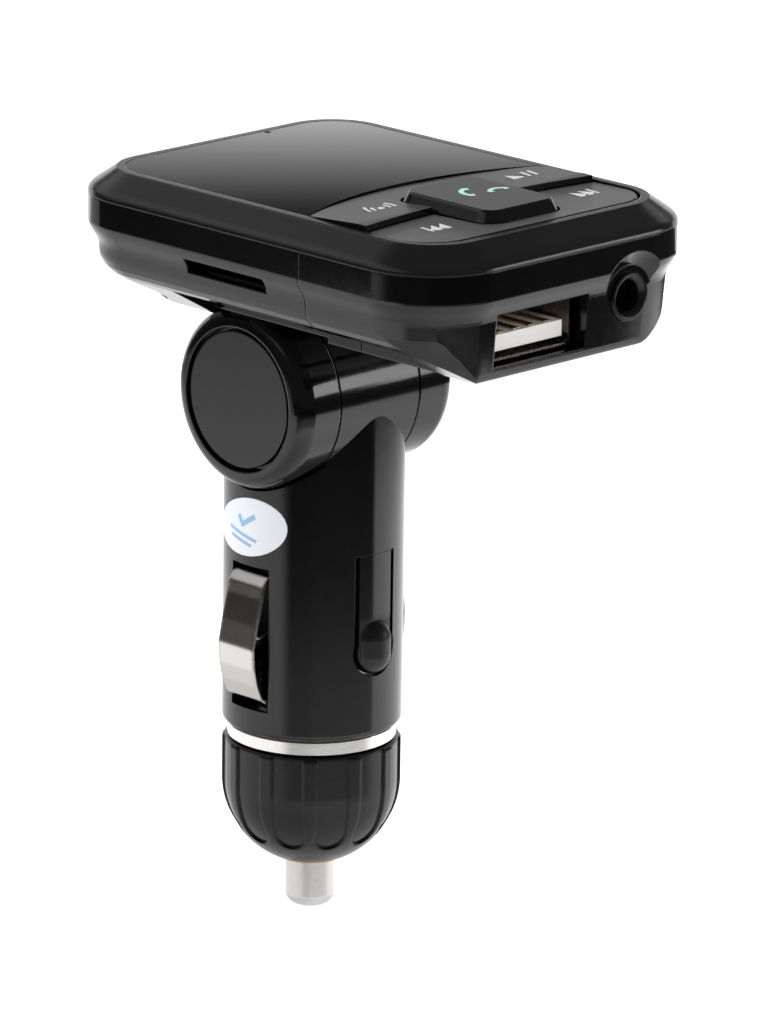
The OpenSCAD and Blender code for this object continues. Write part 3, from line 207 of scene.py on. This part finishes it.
MATERIALS = {
    "gloss": moulded("black_gloss_plastic", BLACK, rough=(0.09, 0.03), grain=(0.12, 900), edge=0.25),
    "frame": moulded("black_frame_plastic", greys(0.005, 0.008), rough=(0.2, 0.04), grain=(0.25, 1800),
                     edge=0.2),
    "barrel": moulded("black_barrel_plastic", BLACK, rough=(0.11, 0.03), grain=(0.12, 900), edge=0.06),
    "tongue": moulded("black_tongue_plastic", BLACK, rough=(0.11, 0.03), grain=(0.12, 900), edge=0.06),
    "satin": moulded("black_satin_plastic", greys(0.003, 0.005), rough=(0.24, 0.04), grain=(0.35, 2500),
                     edge=0.5, specular=0.36),
    # Painted shade: both key rubbers keep only a tenth of their colour on their flanks.
    "key": moulded("key_rubber", greys(0.026, 0.036), rough=(0.38, 0.05), grain=(0.5, 4000),
                   edge=0.12, flanks=(0.1, 0.3)),
    # Painted light: the front bar's rubber is a lighter copy of the key rubber, making up for the shade it
    # gets beside the raised back bar.
    "painted_light_key": moulded("painted_light_key_rubber", greys(0.062, 0.074), rough=(0.38, 0.05), grain=(0.5, 4000),
                         edge=0.12, flanks=(0.1, 0.3)),
    "lens": moulded("lens_plastic", greys(0.002, 0.003), rough=(0.03, 0.01), grain=(0.02, 500),
                    edge=0.05, coat=0.3),
    "ring": moulded("bright_nickel", ((0.8, 0.78, 0.755), (0.86, 0.84, 0.81)), rough=(0.22, 0.06),
                    grain=(0.3, 1500), edge=0.08, metal=1.0),
    "nickel": moulded("nickel_plate", NICKEL, rough=(0.22, 0.06), grain=(0.3, 1500), edge=0.08, metal=1.0),
    "tip": moulded("brushed_tip", ((0.6, 0.585, 0.57), (0.68, 0.665, 0.65)), rough=(0.32, 0.08),
                   grain=(0.4, 2200), edge=0.1, metal=1.0),
    "strip": moulded("sprung_strip", NICKEL, rough=(0.18, 0.04), grain=(0.2, 1500), edge=0.6, metal=1.0),
    "steel": moulded("steel", ((0.5, 0.5, 0.5), (0.6, 0.6, 0.6)), rough=(0.35, 0.08), grain=(0.3, 1800),
                     edge=0.05, metal=1.0),
    "bronze": moulded("tarnished_plate", ((0.3, 0.24, 0.21), (0.4, 0.33, 0.29)), rough=(0.26, 0.06),
                      grain=(0.3, 1500), edge=0.08, metal=1.0),
    "brass": moulded("brass", ((0.68, 0.5, 0.24), (0.78, 0.6, 0.32)), rough=(0.3, 0.08), grain=(0.3, 1800),
                     edge=0.05, metal=1.0),
    "white": moulded("white_plastic", ((0.78, 0.77, 0.73), (0.84, 0.83, 0.8)), rough=(0.35, 0.05),
                     grain=(0.3, 2500), edge=0.1),
    "film": moulded("sticker_film", ((0.8, 0.83, 0.88), (0.84, 0.87, 0.91)), rough=(0.3, 0.05),
                    grain=(0.1, 800), edge=0.03),
    "board": moulded("solder_mask", ((0.02, 0.12, 0.05), (0.03, 0.18, 0.07)), rough=(0.35, 0.08),
                     grain=(0.5, 3000), edge=0.05),
    "chip": moulded("chip_epoxy", greys(0.02, 0.035), rough=(0.55, 0.08), grain=(0.6, 5000), edge=0.05),
    "amber": moulded("flex_film", ((0.4, 0.2, 0.05), (0.52, 0.28, 0.08)), rough=(0.35, 0.06),
                     grain=(0.2, 1200), edge=0.02),
    "sheath": moulded("wire_sheath", ((0.4, 0.02, 0.02), (0.5, 0.04, 0.03)), rough=(0.4, 0.06),
                      grain=(0.3, 2500), edge=0.02),
    "glass": moulded("fuse_glass", ((0.8, 0.86, 0.86), (0.86, 0.9, 0.9)), rough=(0.06, 0.02),
                     grain=(0.02, 500), edge=0.02),
}
glass_shader = MATERIALS["glass"].node_tree.nodes["Principled BSDF"]
glass_shader.inputs["Transmission Weight"].default_value = GLASS_TRANSMISSION


def ink(name, colour):
    """Printed ink: thin, a little uneven."""
    light = tuple(min(1, c * INK_LIGHTER) for c in colour)
    return moulded(name, (colour, light), rough=(0.45, 0.05), grain=(0.3, 6000), edge=0)


INKS = {
    "white": ink("white_ink", (0.55, 0.55, 0.55)),
    "green": ink("green_ink", (0.38, 0.66, 0.52)),
    "blue": ink("blue_ink", (0.3, 0.5, 0.7)),
}

NODE_MATERIALS = {
    "gloss": ["head_shell_rear", "head_shell_front", "hinge_cap_left", "hinge_cap_right"],
    "barrel": ["plug_shell_front", "plug_shell_rear"],
    "tongue": ["retention_tongue_front", "retention_tongue_rear"],
    "frame": ["head_top_frame"],
    "satin": ["nose_cap", "aux_socket", "aux_collar"],
    "key": ["call_key", "back_key_bar", "microphone_boot"],
    "painted_light_key": ["front_key_bar"],
    "lens": ["display_lens", "display_module"],
    "ring": ["nose_ring"],
    "nickel": ["fuse_caps"],
    "strip": ["ground_spring_left", "ground_spring_right"],
    "bronze": ["usb_shell", "card_reader"],
    "tip": ["contact_pin"],
    "steel": ["plug_screw", "pin_spring", "fuse_wire", "hinge_axle", "axle_clips", "friction_washers",
              "tact_switches", "microphone", "head_screws", "crystal", "power_capacitors"],
    "brass": ["pin_bush", "spring_seat", "ground_straps", "usb_contacts"],
    "white": ["usb_tongue"],
    "film": ["sticker"],
    "board": ["power_board", "main_board"],
    "chip": ["power_coil", "power_chip", "radio_chips"],
    "amber": ["display_cable"],
    "sheath": ["supply_wires", "supply_leads"],
    "glass": ["fuse_glass"],
}

# Height of the tongue's bump, in millimetres, and how many times rougher than the tongue it is
BUMP_TOP = 36.0
BUMP_WEAR = 3.5


def wear_bump(material, node):
    """Make the surface rougher below the bump's top, where it rubs on the socket."""
    tree = material.node_tree
    shader = tree.nodes["Principled BSDF"]
    top = (node.matrix_world.inverted() @ mm(0, 0, BUMP_TOP)).z
    coords = add_node(tree, "ShaderNodeTexCoord")
    split = add_node(tree, "ShaderNodeSeparateXYZ")
    share = add_node(tree, "ShaderNodeMapRange", From_Min=top, From_Max=top + MM, To_Min=BUMP_WEAR,
                     To_Max=1.0)
    worn = add_node(tree, "ShaderNodeMath", operation="MULTIPLY")
    tree.links.new(coords.outputs["Object"], split.inputs["Vector"])
    tree.links.new(split.outputs["Z"], share.inputs["Value"])
    tree.links.new(shader.inputs["Roughness"].links[0].from_socket, worn.inputs[0])
    tree.links.new(share.outputs["Result"], worn.inputs[1])
    tree.links.new(worn.outputs["Value"], shader.inputs["Roughness"])


def dress_nodes():
    for key, names in NODE_MATERIALS.items():
        for name in names:
            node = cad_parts[name]
            node.data.materials.clear()
            node.data.materials.append(MATERIALS[key])


# Printed icons: flat closed outlines in millimetres, x to the reader's right and y up

INK_T = 0.03
INK_STEP = 0.002


def disc(x, y, r, points=28):
    angles = [2 * math.pi * k / points for k in range(points)]
    return [(x + r * math.cos(a), y + r * math.sin(a)) for a in angles]


def bar(x0, y0, x1, y1):
    return [(x0, y0), (x1, y0), (x1, y1), (x0, y1)]


def arrow(x, half, length):
    """Triangle with its base at x, pointing to the right, or to the left where length is negative."""
    return [(x, -half), (x + length, 0), (x, half)]


def arc_band(x, y, r, width, start, end, points=14):
    angles = [math.radians(start + (end - start) * k / points) for k in range(points + 1)]
    outer = [(x + (r + width / 2) * math.cos(a), y + (r + width / 2) * math.sin(a)) for a in angles]
    inner = [(x + (r - width / 2) * math.cos(a), y + (r - width / 2) * math.sin(a)) for a in angles]
    return outer + inner[::-1]


def handset(size, turn):
    """Telephone handset: a curved grip with two square ends."""
    grip = arc_band(0, -0.62, 1, 0.34, 35, 145)
    ends = [[(s * 0.52, -0.28), (s * 1.0, -0.28), (s * 1.0, 0.12), (s * 0.72, 0.24)] for s in (-1, 1)]
    return [[turned(size * u, size * v, turn) for u, v in shape] for shape in [grip] + ends]


def icon(name, shapes, place, body, material, lean=0.0):
    """Thin printed shapes at a place on a key, reading along Y; lean tips them about that direction."""
    mesh = bmesh.new()
    right = Vector((0, 1, 0))
    top = Matrix.Rotation(lean, 3, right) @ Vector((-1, 0, 0))
    out = right.cross(top)
    for layer, shape in enumerate(shapes):
        low = [mm(*place) + (right * u + top * v) * MM for u, v in shape]
        high = [p + out * (INK_T + INK_STEP * layer) * MM for p in low]
        vertices = [mesh.verts.new(p) for p in low + high]
        n = len(shape)
        mesh.faces.new(vertices[n:])
        for k in range(n):
            after = (k + 1) % n
            mesh.faces.new([vertices[i] for i in (k, after, n + after, n + k)])
    bmesh.ops.recalc_face_normals(mesh, faces=mesh.faces)
    piece = add_mesh(name, mesh, material)
    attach(piece, body)


# The keys' tops, in millimetres: the call key is level, and both bars slope along X.
# The back bar starts a dip below the rim at the lens, and ends a rise above it
RIM_Z = 87.7
CALL_TOP_Z = 88.95
LENS_EDGE_X = 13.03
BAR_RUN = 11.22
BAR_DIP = 0.25
BAR_RISE = 0.5
BACK_SLOPE = math.atan((BAR_DIP + BAR_RISE) / BAR_RUN)
FRONT_X = 36.0
FRONT_SLOPE = math.radians(1.4)


def add_back_icon(name, shapes, x, y):
    z = RIM_Z - BAR_DIP + (x - LENS_EDGE_X) * math.tan(BACK_SLOPE)
    icon(name, shapes, (x, y, z), "back_rocker", INKS["white"], BACK_SLOPE)


def add_front_icon(name, shapes, x, y):
    z = RIM_Z - (FRONT_X - x) * math.tan(FRONT_SLOPE)
    icon(name, shapes, (x, y, z), "front_rocker", INKS["white"], FRONT_SLOPE)


def add_call_icon(name, size, turn, x, y):
    icon(name, handset(size, turn), (x, y, CALL_TOP_Z), "call_button", INKS["green"])


def add_icons():
    half = 1.35
    length = 1.3
    waves = [arc_band(0, 0, r, 0.36, a - 40, a + 40) for r in (1.15, 1.95) for a in (0, 180)]
    play = [arrow(-2.5, half, 1.8), bar(-0.1, -half, 0.35, half), bar(1.0, -half, 1.45, half)]
    previous = [bar(-1.6, -half, -1.25, half), arrow(0.05, half, -length), arrow(1.35, half, -length)]
    following = [arrow(-1.35, half, length), arrow(-0.05, half, length), bar(1.25, -half, 1.6, half)]
    add_back_icon("tuning_icon", [disc(0, 0, 0.45)] + waves, x=20.4, y=-10.1)
    add_back_icon("play_icon", play, x=20.3, y=13.1)
    add_front_icon("previous_icon", previous, x=29.9, y=-10.7)
    add_front_icon("next_icon", following, x=29.5, y=12.8)
    add_call_icon("answer_icon", size=1.75, turn=60, x=24.3, y=-0.7)
    add_call_icon("hang_up_icon", size=1.5, turn=0, x=25.6, y=2.7)


# Sticker print: a tick over two plain bars, bent round the plug, in millimetres and degrees

PLUG_R = 10.35
STICKER_T = 0.08
STICKER_TURN = -94
STICKER_Z = 47
PRINT_T = 0.01
PRINT_TILT = -12
EDGE_STEPS = 4


def in_steps(shape):
    """A closed outline with each edge cut into equal steps, so that it can bend."""
    points = []
    for k, (u0, v0) in enumerate(shape):
        u1, v1 = shape[(k + 1) % len(shape)]
        shares = [step / EDGE_STEPS for step in range(EDGE_STEPS)]
        points += [(u0 + (u1 - u0) * share, v0 + (v1 - v0) * share) for share in shares]
    return points


def add_sticker_print():
    tick = [(-1.3, 0.9), (-0.9, 1.35), (-0.25, 0.7), (1.2, 2.15), (1.6, 1.7), (-0.25, -0.15)]
    mesh = bmesh.new()
    for shape in (tick, bar(-2.6, -1.1, 2.2, -0.7), bar(-2.0, -1.9, 1.6, -1.5)):
        flat = [turned(u, v, PRINT_TILT) for u, v in in_steps(shape)]
        mesh.faces.new([mesh.verts.new((u, v, 0)) for u, v in flat])
    bmesh.ops.triangulate(mesh, faces=mesh.faces)
    bmesh.ops.subdivide_edges(mesh, edges=mesh.edges, cuts=2)
    r = PLUG_R + STICKER_T + PRINT_T
    for vertex in mesh.verts:
        angle = math.radians(STICKER_TURN) + vertex.co.x / PLUG_R
        vertex.co = mm(r * math.cos(angle), r * math.sin(angle), STICKER_Z + vertex.co.y)
    piece = add_mesh("sticker_print", mesh, INKS["blue"])
    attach(piece, "plug")


# The spring over the fuse shortens when the pin pushes the fuse up against it; here it only gets a mesh of
# its own


def let_spring_shorten():
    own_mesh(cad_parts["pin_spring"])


# Studio: what the gloss reflects is on cards that only glossy rays see, and soft lamps light the rest

# A card stands on the line between two places, each in metres to the camera's right and towards it
BACKDROP = ((-0.32, -0.28), (0.32, -0.28))
BACKDROP_Z = (0.0, 0.34)
SOFTBOX = ((0.6, -0.12), (0.6, 0.1))
SOFTBOX_Z = (0.04, 0.19)
SOFTBOX_GLOW = 4.5
TIER_FLAG = ((0.13, 0.012), (0.13, 0.05))
TIER_FLAG_Z = (0.03, 0.066)
SPRING_FLAG = ((-0.15, -0.06), (-0.15, 0.06))
SPRING_FLAG_Z = (0.042, 0.098)
FLAG_GLOW = 0.03
TABLE_Z = -0.1
TABLE_R = 1.19
ROOM_R = 1.2

# Ramps of the glow: from one place to another, and then the values there.
# On the table these places are metres from the plug's axis
TABLE_LEFT = (0.46, 0.8, 1.3, 0.45)
TABLE_RIGHT = (0.52, 0.63, 1.6, 0.05)
NOSE_DARK = (0.28, 0.36, 0, 0.62)
PLUG_DARK = (0.41, 0.48, 0, 0.34)
UNDER_TIP = (0.12, 0.32, 0.65, 1)
DARK_SHIFT = (0.5, 0.74, 0, 0.5)
# This one's are metres to the camera's right
RIGHT_SHARE = (-0.05, 0.05, 0, 1)
# Where the dark part starts and ends, in radians round from the camera's side
DARK_START = (-0.75, -0.45, 0, 1)
DARK_END = (1.4, 1.5, 1, 0)
# In the room, one by metres to the camera's right and two by height, and the glow of room and light
ROOM_LEFT = (-0.35, -0.75, 0, 1)
LIGHT_BOTTOM = (0.5, 0.75, 0, 1)
LIGHT_TOP = (1.1, 0.95, 0, 1)
ROOM_GLOW = 0.08
LIGHT_GLOW = 0.57
# On the backdrop, two by height, then its glow low down, the share the dark takes and the fade's lean
LENS_FADE = (0.1469, 0.1615, 0, 1)
HIGH_GLOW = (0.18, 0.26, 0, 0.6)
LOW_GLOW = 1.25
FADE_DEPTH = 0.8
FADE_LEAN = 0.01

FLOOR_HALF = 3.0
FLOOR_PAPER = (0.86, 0.86, 0.86, 1)
FLOOR_SEEN = 0.55
WORLD_LIGHT = 0.55
WORLD_SEEN = 1.0
LAMP_AIM = (0, 0, 0.05)


def seen_only_in_gloss(card):
    card.visible_camera = False
    card.visible_diffuse = False
    card.visible_shadow = False
    card.visible_transmission = False


def tree_maths(tree):
    """Small helpers that build sums of numbers and sockets in a node tree."""
    def value(operation, *inputs):
        node = tree.nodes.new("ShaderNodeMath")
        node.operation = operation
        for socket, given in zip(node.inputs, inputs):
            if isinstance(given, (int, float)):
                socket.default_value = given
            else:
                tree.links.new(given, socket)
        return node.outputs["Value"]

    def ramp(given, x0, x1, y0, y1, smooth=True):
        node = tree.nodes.new("ShaderNodeMapRange")
        node.interpolation_type = "SMOOTHSTEP" if smooth else "LINEAR"
        tree.links.new(given, node.inputs["Value"])
        for key, number in zip(("From Min", "From Max", "To Min", "To Max"), (x0, x1, y0, y1)):
            node.inputs[key].default_value = number
        return node.outputs["Result"]

    return value, ramp


def view_place(tree, value):
    """Where the shaded point is, in metres to the camera's right, towards the camera and up."""
    geometry = add_node(tree, "ShaderNodeNewGeometry")
    split = add_node(tree, "ShaderNodeSeparateXYZ")
    tree.links.new(geometry.outputs["Position"], split.inputs["Vector"])
    x, y, z = (split.outputs[axis] for axis in "XYZ")
    az = math.radians(VIEW_AZIMUTH)
    right = value("ADD", value("MULTIPLY", x, math.cos(az)), value("MULTIPLY", y, math.sin(az)))
    near = value("SUBTRACT", value("MULTIPLY", x, math.sin(az)), value("MULTIPLY", y, math.cos(az)))
    return SimpleNamespace(right=right, near=near, up=z)


def glow_material(name, strength):
    """Emission with a number as its strength, or a function that works it out from the point's place."""
    material = bpy.data.materials.new(name)
    material.use_nodes = True
    tree = material.node_tree
    tree.nodes.clear()
    glow = add_node(tree, "ShaderNodeEmission")
    out = add_node(tree, "ShaderNodeOutputMaterial")
    tree.links.new(glow.outputs["Emission"], out.inputs["Surface"])
    if callable(strength):
        value, ramp = tree_maths(tree)
        tree.links.new(strength(value, ramp, view_place(tree, value)), glow.inputs["Strength"])
    else:
        glow.inputs["Strength"].default_value = strength
    return material


def table_glow(value, ramp, place):
    """Reflected table: white round the plug, dark before it, fading to the left, ending to the right."""
    squares = [value("MULTIPLY", side, side) for side in (place.right, place.near)]
    far = value("SQRT", value("ADD", *squares))
    turn = value("ARCTAN2", place.right, place.near)
    share = ramp(place.right, *RIGHT_SHARE)
    right_side = value("MULTIPLY", ramp(far, *TABLE_RIGHT), share)
    left_side = value("MULTIPLY", ramp(far, *TABLE_LEFT), value("SUBTRACT", 1.0, share))
    white = value("ADD", right_side, left_side)
    start = ramp(value("ADD", turn, ramp(far, *DARK_SHIFT)), *DARK_START)
    front = value("MULTIPLY", start, ramp(turn, *DARK_END))
    dark = value("ADD", ramp(far, *NOSE_DARK), ramp(far, *PLUG_DARK))
    kept = value("SUBTRACT", 1.0, value("MULTIPLY", dark, front))
    kept = value("MULTIPLY", kept, ramp(far, *UNDER_TIP))
    return value("MULTIPLY", white, kept)


def room_glow(value, ramp, place):
    """Reflected room: dim, lighter high up to the left."""
    light = value("MULTIPLY", ramp(place.right, *ROOM_LEFT), ramp(place.up, *LIGHT_BOTTOM))
    light = value("MULTIPLY", light, ramp(place.up, *LIGHT_TOP))
    return value("ADD", ROOM_GLOW, value("MULTIPLY", light, LIGHT_GLOW))


def backdrop_glow(value, ramp, place):
    """Backdrop seen in the lens: bright low down, dark above, lighter again higher up."""
    level = value("ADD", place.up, value("MULTIPLY", place.right, FADE_LEAN))
    fade = value("MULTIPLY", ramp(level, *LENS_FADE, smooth=False), FADE_DEPTH)
    kept = value("SUBTRACT", 1.0, fade)
    low = value("MULTIPLY", value("MULTIPLY", kept, kept), LOW_GLOW)
    return value("ADD", low, ramp(place.up, *HIGH_GLOW))


def view_point(right, near, up):
    az = math.radians(VIEW_AZIMUTH)
    return (right * math.cos(az) + near * math.sin(az), right * math.sin(az) - near * math.cos(az), up)


def standing(line, heights):
    """Corners of a card that stands on a line, between two heights."""
    start, end = line
    low, high = heights
    return [(*start, low), (*end, low), (*end, high), (*start, high)]


def add_card(name, corners, material):
    """Flat card through points given as metres to the camera's right, towards the camera and up."""
    mesh = bmesh.new()
    mesh.faces.new([mesh.verts.new(view_point(*corner)) for corner in corners])
    card = add_mesh(name, mesh, material)
    seen_only_in_gloss(card)


def add_dome():
    mesh = bmesh.new()
    bmesh.ops.create_uvsphere(mesh, u_segments=48, v_segments=24, radius=ROOM_R)
    dome = add_mesh("room_dome", mesh, glow_material("room_glow", room_glow))
    seen_only_in_gloss(dome)


def add_lamp(name, place, width, height, watts):
    data = bpy.data.lights.new(name, "AREA")
    data.shape = "RECTANGLE"
    data.size = width
    data.size_y = height
    data.energy = watts
    lamp = bpy.data.objects.new(name, data)
    lamp.location = place
    lamp.visible_glossy = False
    lamp.rotation_euler = (Vector(LAMP_AIM) - Vector(place)).to_track_quat("-Z", "Y").to_euler()
    bpy.context.scene.collection.objects.link(lamp)


def largest(tree, first, second):
    node = add_node(tree, "ShaderNodeMath", operation="MAXIMUM")
    tree.links.new(first, node.inputs[0])
    tree.links.new(second, node.inputs[1])
    return node.outputs["Value"]


def floor_material():
    """Pale paper that takes the shadow, and looks white to the camera and through glass."""
    material, tree, shader = new_material("floor_paper")
    shader.inputs["Base Color"].default_value = FLOOR_PAPER
    shader.inputs["Roughness"].default_value = 0.9
    shader.inputs["Specular IOR Level"].default_value = 0.1
    path = add_node(tree, "ShaderNodeLightPath")
    seen = largest(tree, path.outputs["Is Camera Ray"], path.outputs["Is Transmission Ray"])
    glow = add_node(tree, "ShaderNodeEmission", Strength=FLOOR_SEEN)
    dark = add_node(tree, "ShaderNodeEmission", Strength=0.0)
    pick = add_node(tree, "ShaderNodeMixShader")
    tree.links.new(seen, pick.inputs["Fac"])
    tree.links.new(dark.outputs["Emission"], pick.inputs[1])
    tree.links.new(glow.outputs["Emission"], pick.inputs[2])
    total = add_node(tree, "ShaderNodeAddShader")
    tree.links.new(shader.outputs["BSDF"], total.inputs[0])
    tree.links.new(pick.outputs["Shader"], total.inputs[1])
    tree.links.new(total.outputs["Shader"], tree.nodes["Material Output"].inputs["Surface"])
    return material


def add_floor():
    """The floor. The gloss sees the table card in its place."""
    mesh = bmesh.new()
    corners = ((-1, -1), (1, -1), (1, 1), (-1, 1))
    mesh.faces.new([mesh.verts.new((x * FLOOR_HALF, y * FLOOR_HALF, 0)) for x, y in corners])
    floor = add_mesh("floor", mesh, floor_material())
    floor.visible_glossy = False


def add_world():
    """Soft even light, and plain white where the camera, gloss or glass sees past the floor."""
    world = bpy.data.worlds.new("studio")
    world.use_nodes = True
    tree = world.node_tree
    background = tree.nodes["Background"]
    background.inputs["Color"].default_value = (1, 1, 1, 1)
    path = add_node(tree, "ShaderNodeLightPath")
    seen = largest(tree, path.outputs["Is Camera Ray"], path.outputs["Is Glossy Ray"])
    seen = largest(tree, seen, path.outputs["Is Transmission Ray"])
    strength = add_node(tree, "ShaderNodeMapRange", To_Min=WORLD_LIGHT, To_Max=WORLD_SEEN)
    tree.links.new(seen, strength.inputs["Value"])
    tree.links.new(strength.outputs["Result"], background.inputs["Strength"])
    bpy.context.scene.world = world


def add_cards():
    table = [(x, y, TABLE_Z) for x, y in disc(0, 0, TABLE_R, points=64)]
    cards = (
        ("table_card", table, "table_glow", table_glow),
        ("backdrop_card", standing(BACKDROP, BACKDROP_Z), "backdrop_fade", backdrop_glow),
        ("right_softbox_card", standing(SOFTBOX, SOFTBOX_Z), "softbox_glow", SOFTBOX_GLOW),
        ("tier_flag_card", standing(TIER_FLAG, TIER_FLAG_Z), "flag_glow", FLAG_GLOW),
        ("spring_flag_card", standing(SPRING_FLAG, SPRING_FLAG_Z), "spring_flag_glow", FLAG_GLOW),
    )
    for name, corners, glow_name, strength in cards:
        add_card(name, corners, glow_material(glow_name, strength))


def add_studio():
    add_floor()
    add_world()
    add_dome()
    add_cards()
    add_lamp("left_softbox", place=(-0.55, -0.5, 0.45), width=0.4, height=0.6, watts=4)
    add_lamp("top_softbox", place=(0.1, 0.1, 0.8), width=0.6, height=0.6, watts=2.5)
    add_lamp("right_strip", place=(0.65, 0.2, 0.35), width=0.12, height=0.6, watts=2)


add_camera()
wear_bump(MATERIALS["tongue"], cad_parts["retention_tongue_front"])
dress_nodes()
add_icons()
add_sticker_print()
let_spring_shorten()
add_studio()
bpy.context.scene.view_settings.view_transform = "Standard"
